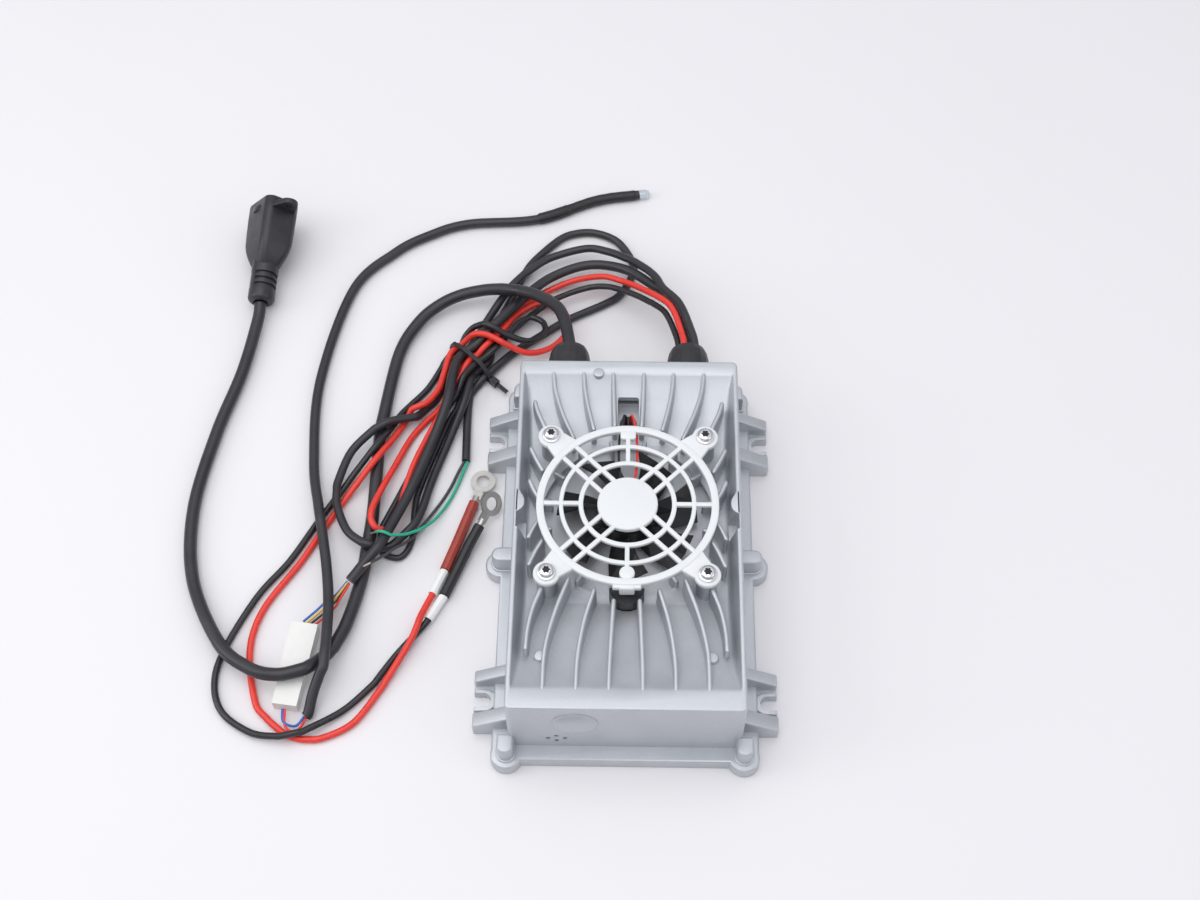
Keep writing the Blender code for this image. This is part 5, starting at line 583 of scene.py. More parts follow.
# By the record's slots: colour, roughness, metallic, tone, grain, patch, bump, and what else differs
LOOKS = {
    "casting": ((0.54, 0.56, 0.585), 0.46, 0.66, 0.07, 0.55, 16, 0.16, dict(rough_spread=0.06)),
    "cover_plate": ((0.55, 0.56, 0.58), 0.38, 0.85, 0.05, 0.4, 20, 0.12, dict(stretch=(1, 0.08, 1))),
    "gasket": ((0.03, 0.03, 0.03), 0.8, 0, 0.25, 0.6, 9, 0.3, {}),
    "screw_steel": ((0.72, 0.72, 0.74), 0.22, 1, 0.05, 0.25, 3, 0.08, {}),
    "guard_plastic": ((0.76, 0.785, 0.785), 0.34, 0, 0.02, 0.8, 22, 0.05, dict(coat=0.1)),
    "fan_plastic": ((0.012, 0.012, 0.014), 0.42, 0, 0.3, 0.5, 8, 0.1, {}),
    "magnet": ((0.1, 0.09, 0.09), 0.5, 0.4, 0.2, 0.6, 9, 0.2, {}),
    "bearing_bronze": ((0.6, 0.42, 0.2), 0.35, 1, 0.12, 0.6, 9, 0.2, {}),
    "winding": ((0.62, 0.27, 0.1), 0.3, 0.9, 0.25, 0.5, 4, 0.5, dict(stretch=(1, 1, 6))),
    "ferrite": ((0.06, 0.06, 0.065), 0.6, 0.2, 0.2, 0.6, 9, 0.3, {}),
    "board": ((0.02, 0.17, 0.06), 0.3, 0, 0.2, 0.9, 6, 0.15, dict(coat=0.3)),
    "capacitor": ((0.03, 0.04, 0.09), 0.3, 0, 0.15, 0.6, 9, 0.1, dict(coat=0.2)),
    "component_plastic": ((0.02, 0.02, 0.022), 0.55, 0, 0.2, 0.6, 9, 0.2, {}),
    "gland_rubber": ((0.022, 0.022, 0.026), 0.4, 0, 0.25, 0.35, 6, 0.1, {}),
    "cable_jacket": ((0.026, 0.026, 0.03), 0.36, 0, 0.25, 0.5, 14, 0.08, {}),
    "wire_red": ((0.78, 0.045, 0.03), 0.3, 0, 0.07, 0.5, 12, 0.05, {}),
    "wire_black": ((0.02, 0.02, 0.023), 0.3, 0, 0.25, 0.5, 12, 0.05, {}),
    "wire_green": ((0.018, 0.42, 0.27), 0.33, 0, 0.08, 0.4, 9, 0.05, {}),
    "wire_grey": ((0.05, 0.05, 0.055), 0.35, 0, 0.2, 0.4, 9, 0.05, {}),
    "wire_blue": ((0.035, 0.13, 0.5), 0.33, 0, 0.08, 0.4, 9, 0.05, {}),
    "shrink_red": ((0.36, 0.05, 0.034), 0.38, 0, 0.14, 0.6, 4, 0.14, {}),
    "shrink_black": ((0.015, 0.015, 0.017), 0.4, 0, 0.3, 0.6, 4, 0.14, {}),
    "label": ((0.86, 0.86, 0.84), 0.5, 0, 0.03, 0.3, 4, 0.06, {}),
    "terminal": ((0.5, 0.49, 0.46), 0.36, 1, 0.08, 0.3, 3, 0.12, {}),
    "connector": ((0.8, 0.8, 0.76), 0.35, 0, 0.03, 0.5, 6, 0.06, {}),
    "lens": ((0.8, 0.86, 0.9), 0.12, 0, 0.03, 0.5, 3, 0.03, dict(clear=0.6)),
    "plug_plastic": ((0.026, 0.026, 0.03), 0.38, 0, 0.25, 0.45, 10, 0.12, {}),
    "tie_nylon": ((0.018, 0.018, 0.02), 0.32, 0, 0.2, 0.4, 4, 0.06, {}),
}
looks = {slot: finish(slot, *values, **others) for slot, (*values, others) in LOOKS.items()}
# Painted shade: a near-black finish for a plug sunk in each screw's socket, standing in for the shade deep
# in the socket
looks["socket_painted_shade"] = finish("socket_painted_shade", (0.03, 0.03, 0.032), 0.5, metallic=0.5, tone=0.2, bump=0.1)
looks["wire_yellow"] = finish("wire_yellow", (0.75, 0.48, 0.06), 0.33, tone=0.06, bump=0.05)
looks["bare_copper"] = finish("tinned_strands", (0.70, 0.60, 0.48), 0.3, metallic=1.0, tone=0.2,
                              grain=0.2, bump=0.5, stretch=(1, 0.3, 1))

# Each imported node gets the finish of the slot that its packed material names
for cad_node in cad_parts.values():
    for place_holder in cad_node.material_slots:
        slot_name = place_holder.material.name.split(".")[0] if place_holder.material else "casting"
        place_holder.material = looks[slot_name]


def place_camera():
    yaw, pitch, roll = CAMERA_YAW, CAMERA_PITCH, CAMERA_ROLL
    forward = Vector((-math.sin(yaw) * math.cos(pitch), math.cos(yaw) * math.cos(pitch), -math.sin(pitch)))
    right = Vector((math.cos(yaw), math.sin(yaw), 0))
    up = right.cross(forward)
    turned_right = right * math.cos(roll) + up * math.sin(roll)
    turned_up = up * math.cos(roll) - right * math.sin(roll)
    data = bpy.data.cameras.new("camera")
    data.lens = CAMERA_LENS
    data.sensor_width = CAMERA_SENSOR
    data.clip_start = CAMERA_CLIP
    camera = bpy.data.objects.new("camera", data)
    bpy.context.scene.collection.objects.link(camera)
    turn = Matrix((turned_right, turned_up, -forward)).transposed().to_4x4()
    camera.matrix_world = Matrix.Translation(CAMERA_PLACE) @ turn
    bpy.context.scene.camera = camera


def area_light(name, place, size, power):
    data = bpy.data.lights.new(name, "AREA")
    data.shape = "RECTANGLE"
    data.size, data.size_y = size
    data.energy = power
    lamp = bpy.data.objects.new(name, data)
    lamp.location = place
    lamp.rotation_euler = (-Vector(place)).to_track_quat("-Z", "Y").to_euler()
    bpy.context.scene.collection.objects.link(lamp)


def make_studio():
    """A pale floor, a pale surround that darkens towards the horizon, and soft lights around."""
    world = bpy.data.worlds.new("studio")
    world.use_nodes = True
    tree = world.node_tree
    direction = add_node(tree, "TexCoord", {})
    height = add_node(tree, "SeparateXYZ", {"Vector": direction.outputs["Generated"]})
    horizon = [value * HORIZON_SHARE for value in SKY_COLOUR]
    shade = add_ramp(tree, height.outputs["Z"], (0.0, horizon), (FULL_SKY_HEIGHT, SKY_COLOUR))
    fill(tree, tree.nodes["Background"], {"Color": shade, "Strength": SKY_STRENGTH})
    bpy.context.scene.world = world
    bpy.context.scene.view_settings.view_transform = "Standard"
    half = FLOOR_SIZE / 2
    mesh = bpy.data.meshes.new("floor")
    corners = [(-half, -half), (half, -half), (half, half), (-half, half)]
    mesh.from_pydata([(*corner, -FLOOR_DROP) for corner in corners], [], [(0, 1, 2, 3)])
    mesh.materials.append(finish("floor_paper", FLOOR_COLOUR, 0.6, tone=0.004, grain=1.2, patch=200,
                                 bump=0.02))
    floor = bpy.data.objects.new("floor", mesh)
    bpy.context.scene.collection.objects.link(floor)
    for light in LIGHTS:
        area_light(*light)


place_camera()
make_studio()


def cord_path(route, step):
    return even_points(smooth_curve(route_points(route)), step)


def make_cord(name, route, diameter, slot, nodes, step=1.0 * MM):
    """A cord along its route, in place of the imported nodes that it stands for."""
    path = cord_path(route, step)
    item = carry(cord_curve(name, path, diameter, looks[slot]), nodes=nodes)


def tip(name, path, length, radius):
    """Seven bare tinned strands at the end of a wire."""
    along = (path[-1] - path[-2]).normalized()
    points = [path[-1] - along * 0.6 * MM + along * length * step / 6 for step in range(7)]
    side = along.cross(Vector((0, 0, 1))).normalized()
    up = side.cross(along)
    shells = []
    for strand in range(7):
        angle = 2 * math.pi * strand / 6
        shift = Vector() if strand == 6 else (side * math.cos(angle) + up * math.sin(angle)) * radius * 0.62
        line = [point + shift * (1 - 0.35 * step / 6) for step, point in enumerate(points)]
        shells.append(tube_shell(line, radius * 0.42, 8))
    return carry(solid(name, shells, looks["bare_copper"]))


def small_wire(name, points, diameter, look):
    return carry(cord_curve(name, cord_path(points, 0.6 * MM), diameter, looks[look], 4))


SHRINK_STRETCH = (1 * MM, 66 * MM)
SHRINK_RADIUS = 3.25 * MM
SHRINK_OVERLAP = 0.35 * MM
SHRINK_OVERLAP_FROM = 44 * MM
SHRINK_RIPPLE = 0.05 * MM


def make_lamp_shrink():
    """Heat-shrink over the lamp cable's last stretch, with a thicker overlap in it."""
    points = part_of_path(cord_path(LAMP_CABLE_ROUTE, 1.0 * MM), *SHRINK_STRETCH)
    radii = []
    total = path_length(points)
    walked = 0.0
    for index, point in enumerate(points):
        if index:
            walked += (point - points[index - 1]).length
        left = total - walked
        radius = SHRINK_RADIUS + (SHRINK_OVERLAP if left > SHRINK_OVERLAP_FROM else 0)
        radius += SHRINK_RIPPLE * math.sin(left / MM * 0.9)
        radius -= max(0.0, 1 - min(walked, left) / (1.5 * MM)) * 0.25 * MM
        radii.append(radius)
    return carry(solid("lamp_shrink", [tube_shell(points, radii, 24)], looks["shrink_black"]))


lamp_shrink = make_lamp_shrink()
make_cord("lamp_cable_skin", LAMP_CABLE_ROUTE, 5.8 * MM, "cable_jacket",
          ["lamp_cable"], 1.2 * MM)
for pole, route, slot, exit_place in (
        ("positive", DC_POSITIVE_ROUTE, "wire_red", (0.0315, 0.127, 0.0376)),
        ("negative", DC_NEGATIVE_ROUTE, "wire_black", (0.0288, 0.127, 0.0328))):
    make_cord(f"dc_{pole}_skin", route, 3.7 * MM, slot, [f"dc_{pole}_wire"])
make_cord("pair_cable_skin", PAIR_CABLE_ROUTE, 4.8 * MM, "cable_jacket",
          ["pair_cable"])

WIRE_SHIFTS = [("blue", -1.6, "wire_blue", "wire_blue"), ("yellow", -0.5, "wire_yellow", "wire_green"),
               ("black", 0.6, "wire_black", "wire_black"), ("red", 1.7, "wire_red", "wire_red")]
for index, (colour, shift, look, slot) in enumerate(WIRE_SHIFTS):
    spread = [(x + shift * 0.55 * grow, y - shift * 0.55 * grow, z + rise)
              for (x, y, z), grow, rise in zip(SIGNAL_WIRES_ROUTE, (0.7, 1.5, 2.3, 2.4, 2.2),
                                               (0.5, 0.5 * (index % 2), 1.0 - 0.7 * (index % 2), 0.0, 0.0))]
    small_wire(f"signal_wire_{colour}", spread, 1.3 * MM, look)
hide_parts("signal_wires")
for colour, shift, look in (("blue", -1.0, "wire_blue"), ("red", 1.1, "wire_red")):
    spread = [(x + shift * 0.6, y - shift * grow, z + 0.3 * abs(shift)) for (x, y, z), grow in
              zip(LAMP_WIRES_ROUTE, (0.1, 1.0, 1.5, 1.0, 0.1))]
    small_wire(f"lamp_wire_{colour}", spread, 1.4 * MM, look)
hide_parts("lamp_wires")
make_cord("signal_cable_skin", SIGNAL_CABLE_ROUTE, 5.8 * MM, "cable_jacket",
          ["signal_cable"])
core_tips = [tip(f"pair_{core}_tip", cord_path(route, 0.8 * MM), 5.5 * MM, 0.62 * MM)
             for core, route in (("green", GREEN_WIRE_ROUTE), ("grey", GREY_WIRE_ROUTE))]
for core, route, exit_place, core_tip in (
        ("green", GREEN_WIRE_ROUTE, (-0.0915, 0.0692, 0.0024), core_tips[0]),
        ("grey", GREY_WIRE_ROUTE, (-0.0934, 0.0692, 0.0024), core_tips[1])):
    make_cord(f"pair_{core}_skin", route, 1.7 * MM, f"wire_{core}",
              [f"pair_{core}_wire"], 0.8 * MM)


# Housing: one rounded casting
def tray_height(y):
    """Height of the tray's floor, which sweeps up to the top at both ends."""
    if y < NEAR_TRAY_END + NEAR_SLOPE:
        share = (NEAR_TRAY_END + NEAR_SLOPE - y) / NEAR_SLOPE
    else:
        share = max(0.0, (y - FAR_TRAY_END + FAR_SLOPE) / FAR_SLOPE)
    share = min(share, 1.0)
    return TRAY_FLOOR + (TOP - TRAY_FLOOR) * (0.66 * share + 0.34 * share ** 4)


def block_section(y):
    """The casting's cross-section: a channel open downwards, with the tray between its rims."""
    from_end = max(0.0, HALF_LENGTH - abs(y))
    corner = max(0.0, PLAN_CORNER - from_end)
    half = HALF_WIDTH - PLAN_CORNER + math.sqrt(max(0.0, PLAN_CORNER ** 2 - corner ** 2))
    fall = max(0.0, EDGE - from_end)
    top = TOP - EDGE + math.sqrt(max(0.0, EDGE ** 2 - fall ** 2))
    floor = min(tray_height(y), top)
    depth = top - floor
    inner = half - RIM
    lean = RIM_DRAFT * depth
    soft = min(0.9 * MM, depth / 2)
    root = min(3.0 * MM, depth / 2)
    edge = min(EDGE, top - 50 * MM)
    profile = [(half, BLOCK_BOTTOM)]
    for step in range(5):
        angle = math.pi / 2 * step / 4
        profile.append((half - edge * (1 - math.cos(angle)), top - edge * (1 - math.sin(angle))))
    for step in range(4):
        angle = math.pi / 2 * step / 3
        profile.append((inner + soft * (1 - math.sin(angle)), top - soft * (1 - math.cos(angle))))
    for step in range(5):
        angle = math.pi / 2 * step / 4
        profile.append((inner - lean - root * (1 - math.cos(angle)) * 0.9,
                        floor + root * (1 - math.sin(angle))))
    profile.append((0.02 * MM, floor))
    ceiling = floor - WALL
    hollow = HALF_LENGTH - abs(y) > WALL
    under = ceiling if hollow else BLOCK_BOTTOM
    ring = [(-x, y, z) for x, z in profile] + [(x, y, z) for x, z in reversed(profile)]
    ring += [(half - WALL, y, BLOCK_BOTTOM), (half - WALL, y, under),
             (-half + WALL, y, under), (-half + WALL, y, BLOCK_BOTTOM)]
    return ring


def block_stations():
    """Places along Y for the cross-sections: close together at the rounded ends and slopes."""
    ends = [0.0, 0.15, 0.4, 0.75, 1.1, 1.7, 2.3, 3.0, 3.19]
    slope = (0, 0.05, 0.12, 0.22, 0.36, 0.5, 0.66, 0.83, 1)
    near = [-HALF_LENGTH + value * MM for value in ends] + [-HALF_LENGTH + WALL + 0.01 * MM]
    near += [NEAR_TRAY_END + share * NEAR_SLOPE for share in slope]
    far = [HALF_LENGTH - value * MM for value in ends] + [HALF_LENGTH - WALL - 0.01 * MM]
    far += [FAR_TRAY_END - share * FAR_SLOPE for share in slope]
    return near + far[::-1]


def plan_box(x, low_y, high_y, centre_y=0.0):
    """The corners of a rectangle from -x to x and from low_y to high_y, both counted from centre_y."""
    low, high = centre_y + low_y, centre_y + high_y
    return [(-x, low), (x, low), (x, high), (-x, high)]


def disc_shell(centre, radius, low, high, sides=48):
    return prism(round_outline(centre, radius, sides), low, high)


def facing(shell, place, away=1):
    """A shell made along +Z, laid over so that its +Z points along away * Y at a place."""
    return moved(shell, Matrix.Translation(place) @ Matrix.Rotation(math.radians(-90 * away), 4, "X"))


def make_block():
    """The casting's body, with the fan's well, the wires' pocket, the side pockets and front holes."""
    block = solid("housing_skin", [skin([block_section(y) for y in block_stations()])], looks["casting"])
    notch_centre = (0, CABLE_NOTCH_Y)
    cut(block, [disc_shell((0, FAN_Y), WELL_RADIUS + WALL, WELL_FLOOR - WALL, WELL_LINING_TOP, 96),
                disc_shell(notch_centre, CABLE_NOTCH_RADIUS + WALL, WELL_FLOOR - WALL + 0.5 * MM,
                           WELL_LINING_TOP - 0.2 * MM, 40)], "UNION")
    cut(block, [disc_shell((0, FAN_Y), WELL_RADIUS, WELL_FLOOR, CUT_TOP, 96),
                disc_shell(notch_centre, CABLE_NOTCH_RADIUS, WELL_FLOOR + 1 * MM, CUT_TOP, 40)])
    cut(block, [prism(plan_box(9 * MM, 64.4 * MM, 87.4 * MM), 35.3 * MM, 42 * MM)], "UNION")
    pocket = soft_corners(plan_box(5.8 * MM, 67.6 * MM, 84.2 * MM), 1.2 * MM)
    cut(block, [prism(pocket, POCKET_FLOOR, CUT_TOP),
                disc_shell((0, 72.5 * MM), 3.4 * MM, 20 * MM, POCKET_FLOOR + 1 * MM, 24)])
    pockets = []
    for side in (-1, 1):
        outline = soft_corners([(side * x * MM, y * MM) for x, y in
                                ((58.6, -1.4), (58.6, 8.4), (51.5, 8.4), (51.5, -1.4))],
                               [0.3 * MM, 0.3 * MM, 3.2 * MM, 2.2 * MM], 6)
        pockets.append(prism(outline, SIDE_POCKET_FLOOR, CUT_TOP))
    cut(block, pockets)
    cut(block, [facing(disc_shell((0, 0), 1.2 * MM, -5 * MM, 5 * MM, 16),
                       ((-35.0 + dx) * MM, -HALF_LENGTH, (18.4 + dz) * MM))
                for dx, dz in ((-4.3, 0), (4.3, 0), (0, -3.0), (0, 3.0))])
    return block


def fin_shell(path, steps=14):
    """A drafted fin with a rounded top and rounded ends along a plan path."""
    dense = smooth_curve([Vector((x * MM, y * MM, 0)) for x, y in path])
    line = even_points(dense, path_length(dense) / steps)
    sections = []
    stations = [(line[0], 0.0), (line[0], 0.45), (line[0], 0.8)] + [(point, 1.0) for point in line]
    stations += [(line[-1], 0.8), (line[-1], 0.45), (line[-1], 0.0)]
    count = len(line)
    for index, (point, share) in enumerate(stations):
        place = min(max(index - 3, 0), count - 1)
        along = (line[min(place + 1, count - 1)] - line[max(place - 1, 0)]).normalized()
        across = Vector((-along.y, along.x, 0))
        forward = FIN_HALF * math.sqrt(1 - share * share) * (-1 if index < 3 else 1)
        centre = point + along * forward
        scale = max(share, 0.05)
        bottom = tray_height(point.y) - 3 * MM
        top = FIN_TOP - (1 - scale) * 0.7 * MM
        half, root = FIN_HALF * scale, FIN_ROOT_HALF * scale
        ring = [(-root, bottom), (root, bottom)]
        for step in range(7):
            angle = math.pi * step / 6
            ring.append((half * math.cos(angle), top - FIN_HALF + FIN_HALF * math.sin(angle)))
        sections.append([(centre.x + across.x * side, centre.y + across.y * side, z) for side, z in ring])
    return skin(sections)


# Plan paths of the fins on the right, in millimetres
FIN_PATHS = [
    [(41.5, -95), (41, -72), (37, -52), (30.3, -31.5)],
    [(24.9, -95), (24.4, -75), (21.5, -55), (16.8, -37.5)],
    [(8.5, -95), (8.3, -80), (7.6, -62), (6.7, -43.5)], [(50.6, -70.5), (50, -60), (47.8, -48), (44, -37)],
    [(41.6, 98), (40.2, 85), (36, 70), (29.6, 54)], [(24.9, 98), (24, 86), (22, 74), (18.6, 59.5)],
    [(8.4, 98), (8.3, 88), (7.9, 76), (7.3, 62)], [(51, 76.5), (49.5, 71), (47.5, 66), (45.2, 60.5)],
    [(52, 46.5), (49, 40), (45.6, 33.5)], [(52, 26.5), (49.6, 21), (47, 16.5)],
    [(51.4, -7), (49, -1.5), (46.4, 3)], [(50.6, -23), (47.6, -15.5), (44.4, -9.5)]]


def make_fins():
    """The fins on both sides, and the short ones in the well's wall."""
    shells = []
    for path in FIN_PATHS:
        shells.append(fin_shell(path))
        shells.append(fin_shell([(-x, y) for x, y in path]))
    for index in range(16):
        angle = 2 * math.pi * (index + 0.5) / 16
        out = Vector((math.cos(angle), math.sin(angle)))
        if out.y < -0.9:
            continue
        across = Vector((-out.y, out.x)) * FIN_HALF
        centre = Vector((0, FAN_Y))
        inner, outer = centre + out * 40.5 * MM, centre + out * 47.5 * MM
        outline = soft_corners([inner - across, outer - across, outer + across, inner + across],
                               [1.1 * MM, 0.8 * MM, 0.8 * MM, 1.1 * MM], 4)
        shells.append(slab(outline, 35 * MM, 46.5 * MM, 0.7 * MM))
    return solid("housing_fins", shells, looks["casting"])


def make_bosses():
    """Fan bosses, the rim's half-round bosses, the ejector marks and the raised ring on the front."""
    shells = []
    for centre in FAN_SCREW_CENTRES:
        shells.append(slab(round_outline(centre, FAN_BOSS_RADIUS, 40), 38 * MM, 56.3 * MM, 0.9 * MM))
    for side in (-1, 1):
        outline = [Vector((side * x * MM, y * MM)) for x, y in (
            (59.0, 21.3), (56.9, 20.6), (56.4, 19.0), (55.3, 17.4), (54.5, 15.4), (54.3, 13.3),
            (54.6, 11.2), (55.5, 9.6), (56.9, 8.4), (58.3, 7.6), (59.0, 7.0))]
        shells.append(slab(outline, 39 * MM, TOP, 0.5 * MM))
    for x, y in ((-43.5, -72), (43.5, -72), (-16.5, 95.7)):
        base = tray_height(y * MM)
        rise = 2.4 * MM if y < 0 else 0.9 * MM
        shells.append(slab(round_outline((x * MM, y * MM), 3.0 * MM, 32), base - 2 * MM, base + rise,
                           0.6 * MM))
    ring = spun([(11.6 * MM, -1 * MM), (11.6 * MM, 0.35 * MM), (11.2 * MM, 0.7 * MM), (10.7 * MM, 0.7 * MM),
                 (10.3 * MM, 0.4 * MM), (0.0, 0.35 * MM), (0.0, -1 * MM)], 64)
    shells.append(moved(ring, Matrix.Translation((-25.4 * MM, -HALF_LENGTH, 38.6 * MM))
                        @ Matrix.Rotation(math.radians(90), 4, "X")))
    return solid("housing_bosses", shells, looks["casting"])


def rectangle(half_x, half_y, radius, steps=6):
    return soft_corners([(-half_x, -half_y), (half_x, -half_y), (half_x, half_y), (-half_x, half_y)],
                        radius, steps)


def make_foot():
    """The foot flange with its lugs, its bracket arms and the recess for the cover under it."""
    foot = solid("housing_foot", [slab(rectangle(FOOT_HALF_X, FOOT_HALF_Y, 4 * MM), 0, FOOT_TOP,
                                       FOOT_EDGE, UNDER_EDGE)], looks["casting"])
    corners = [(side, end) for side in (-1, 1) for end in (-1, 1)]
    cut(foot, [slab(round_outline(centre, LUG_RADIUS, 48), 0, FOOT_TOP, FOOT_EDGE, UNDER_EDGE)
               for centre in LUG_CENTRES], "UNION")
    cut(foot, [arm for side, end in corners for arm in bracket_shells(side, end)], "UNION")
    openings = []
    for side, end in corners:
        y = end * BRACKET_Y + SLOT_SHIFT_Y
        outline = [Vector((side * 84 * MM, y - side * SLOT_RADIUS)),
                   Vector((side * 84 * MM, y + side * SLOT_RADIUS))]
        outline += arc((side * 74.4 * MM, y), side * SLOT_RADIUS, 90, 270, ARC_STEPS)
        openings.append(prism(outline, CUT_BOTTOM, 12 * MM))
    cut(foot, openings)
    cover = rectangle(FOOT_HALF_X - RECESS_INSET, FOOT_HALF_Y - RECESS_INSET, 2.8 * MM)
    cut(foot, [prism(cover, CUT_BOTTOM, BLOCK_BOTTOM)])
    cut(foot, [disc_shell(centre, LUG_RADIUS - RECESS_INSET, CUT_BOTTOM, BLOCK_BOTTOM)
               for centre in LUG_CENTRES])
    cut(foot, [prism(rectangle(HALF_WIDTH - WALL, HALF_LENGTH - WALL, 1 * MM), CUT_BOTTOM, 12 * MM)])
    return foot


def bracket_shells(side, end):
    """A bracket's plate, its two sloping ribs and the raised collar round its slot."""
    centre = end * BRACKET_Y
    low, high = centre - BRACKET_HALF_LENGTH, centre + BRACKET_HALF_LENGTH
    inner, outer = 57 * MM, BRACKET_REACH
    plate = soft_corners([(inner, low), (outer, low), (outer, high), (inner, high)],
                         [0.8 * MM, 1.2 * MM, 1.2 * MM, 0.8 * MM])
    shells = [slab(plate, 0, BRACKET_PLATE, 0.6 * MM, UNDER_EDGE)]
    for start, width in ((low, 8.0 * MM), (high - 6.6 * MM, 6.6 * MM)):
        outline = soft_corners([(inner, 0), (outer, 0), (outer, 9.4 * MM), (60.5 * MM, 20 * MM),
                                (inner, 20 * MM)], [0.9 * MM, 0.9 * MM, 1.4 * MM, 1.0 * MM, 0.9 * MM])
        rib = slab(outline, 0, width, 0.8 * MM, 0.8 * MM)
        shells.append(moved(rib, Matrix(((1, 0, 0, 0), (0, 0, 1, start), (0, 1, 0, 0), (0, 0, 0, 1)))))
    y = centre + SLOT_SHIFT_Y
    reach = SLOT_RADIUS + 2.2 * MM
    collar = [Vector((outer - 0.4 * MM, y - reach)), Vector((outer - 0.4 * MM, y + reach))]
    collar += arc((73.6 * MM, y), reach, 90, 270, ARC_STEPS)
    shells.append(slab(collar, 0, BRACKET_PLATE + 2.2 * MM, 0.6 * MM, UNDER_EDGE))
    if side > 0:
        return shells
    mirror = Matrix.Scale(-1, 4, (1, 0, 0))
    return [moved(shell, mirror) for shell in shells]


def make_lug_bosses():
    """A rounded boss over each lug, running back into the wall, with a low skirt round it."""
    shells = []
    for x, y in LUG_CENTRES:
        middle = abs(y) < 50 * MM
        away = Vector((math.copysign(1, x), 0)) if middle else Vector((0, math.copysign(1, y)))
        across = Vector((-away.y, away.x))
        centre = Vector((x, y))
        back = centre - away * (10.5 * MM if middle else 6.0 * MM)
        outline = [back - across * LUG_BOSS_RADIUS]
        outline += [centre + away * turn.x + across * turn.y
                    for turn in arc((0, 0), LUG_BOSS_RADIUS, -90, 90, ARC_STEPS)]
        outline.append(back + across * LUG_BOSS_RADIUS)
        shells.append(slab(outline, 6.5 * MM, LUG_BOSS_TOP, 1.5 * MM, steps=5))
        skirt = [centre + (point - centre) * 1.22 for point in outline]
        shells.append(slab(skirt, 6.5 * MM, FOOT_TOP + 0.9 * MM, 0.85 * MM, steps=4))
    return solid("lug_bosses", shells, looks["casting"])


housing = join("housing_skin", [make_block(), make_fins(), make_bosses(), make_foot(), make_lug_bosses()])
carry(housing, nodes=["housing"])


# Fan guard and its screws
def soft_ring(inner, outer, low, high, edge):
    """A ring with softly rounded edges."""
    profile = []
    for radius, height, start in ((outer - edge, low + edge, -90), (outer - edge, high - edge, 0),
                                  (inner + edge, high - edge, 90), (inner + edge, low + edge, 180)):
        profile += arc((radius, height), edge, start, start + 90, 3)
    return spun(profile, 96, (0, FAN_Y))


def guard_bar(start, end):
    """A flat bar between two points in the plan, from the fan's centre."""
    along = (end - start).normalized()
    across = Vector((-along.y, along.x)) * BAR_HALF
    centre = Vector((0, FAN_Y))
    outline = soft_corners([centre + start - across, centre + end - across, centre + end + across,
                            centre + start + across], 0.6 * MM, 2)
    return slab(outline, *BAR_HEIGHTS, 0.35 * MM, 0.2 * MM)


def make_guard():
    """Three rings, a closed middle disc, twelve bars, four screw eyes, and the tab and leg at its ends."""
    shells = [soft_ring(*(value * MM for value in ring)) for ring in GUARD_RINGS]
    hub = [(0.0, GUARD_BOTTOM), (HUB_RADIUS - 0.3 * MM, GUARD_BOTTOM), (HUB_RADIUS, GUARD_BOTTOM + 0.3 * MM)]
    hub += arc((HUB_RADIUS - HUB_EDGE, HUB_TOP - HUB_EDGE), HUB_EDGE, 0, 90, 5) + [(0.0, HUB_TOP)]
    shells.append(spun(hub, 72, (0, FAN_Y)))
    for quarter in range(4):
        turn = Matrix.Rotation(math.pi / 2 * quarter, 2)
        shells.append(guard_bar(turn @ Vector((24.5 * MM, 0)), turn @ Vector((45.5 * MM, 0))))
        tilt = Matrix.Rotation(math.pi / 2 * quarter + math.pi / 4, 2)
        for shift in (-BAR_PAIR_SHIFT, BAR_PAIR_SHIFT):
            ends = [Vector((math.sqrt((reach * MM) ** 2 - shift ** 2), shift)) for reach in (15, 46)]
            shells.append(guard_bar(tilt @ ends[0], tilt @ ends[1]))
    flat = []
    for x, y in FAN_SCREW_CENTRES:
        at = Vector((x, y))
        toward = (Vector((0, FAN_Y)) - at).normalized()
        across = Vector((-toward.y, toward.x))
        inward = at + toward * 13.5 * MM
        neck = [at + across * 5.4 * MM, inward + across * 8.4 * MM,
                inward - across * 8.4 * MM, at - across * 5.4 * MM]
        flat.append((round_outline(at, EYE_RADIUS, 48), 59.55 * MM, 0.9 * MM))
        flat.append((soft_corners(neck, 1.0 * MM, 3), 59.48 * MM, 0.7 * MM))
    tab = plan_box(4.2 * MM, 39.5 * MM, 45.5 * MM, FAN_Y)
    flat.append((soft_corners(tab, [1.6 * MM, 1.6 * MM, 0.9 * MM, 0.9 * MM], 4), 59.6 * MM, 0.7 * MM))
    flat.append((round_outline((0, FAN_Y - 40.7 * MM), 4.0 * MM, 32), 59.6 * MM, 0.7 * MM))
    shoulder = soft_corners(plan_box(7.4 * MM, -49.6 * MM, -45.6 * MM, FAN_Y), 0.9 * MM, 3)
    flat.append((shoulder, 59.3 * MM, 0.8 * MM))
    shells += [slab(outline, GUARD_BOTTOM, high, edge, GUARD_UNDER_EDGE) for outline, high, edge in flat]
    leg = soft_corners(plan_box(4.0 * MM, -50.2 * MM, -46.6 * MM, FAN_Y), 0.9 * MM, 3)
    shells.append(slab(leg, 52.6 * MM, 59.4 * MM, 0.8 * MM, 0.4 * MM))
    return solid("fan_guard_skin", shells, looks["guard_plastic"])


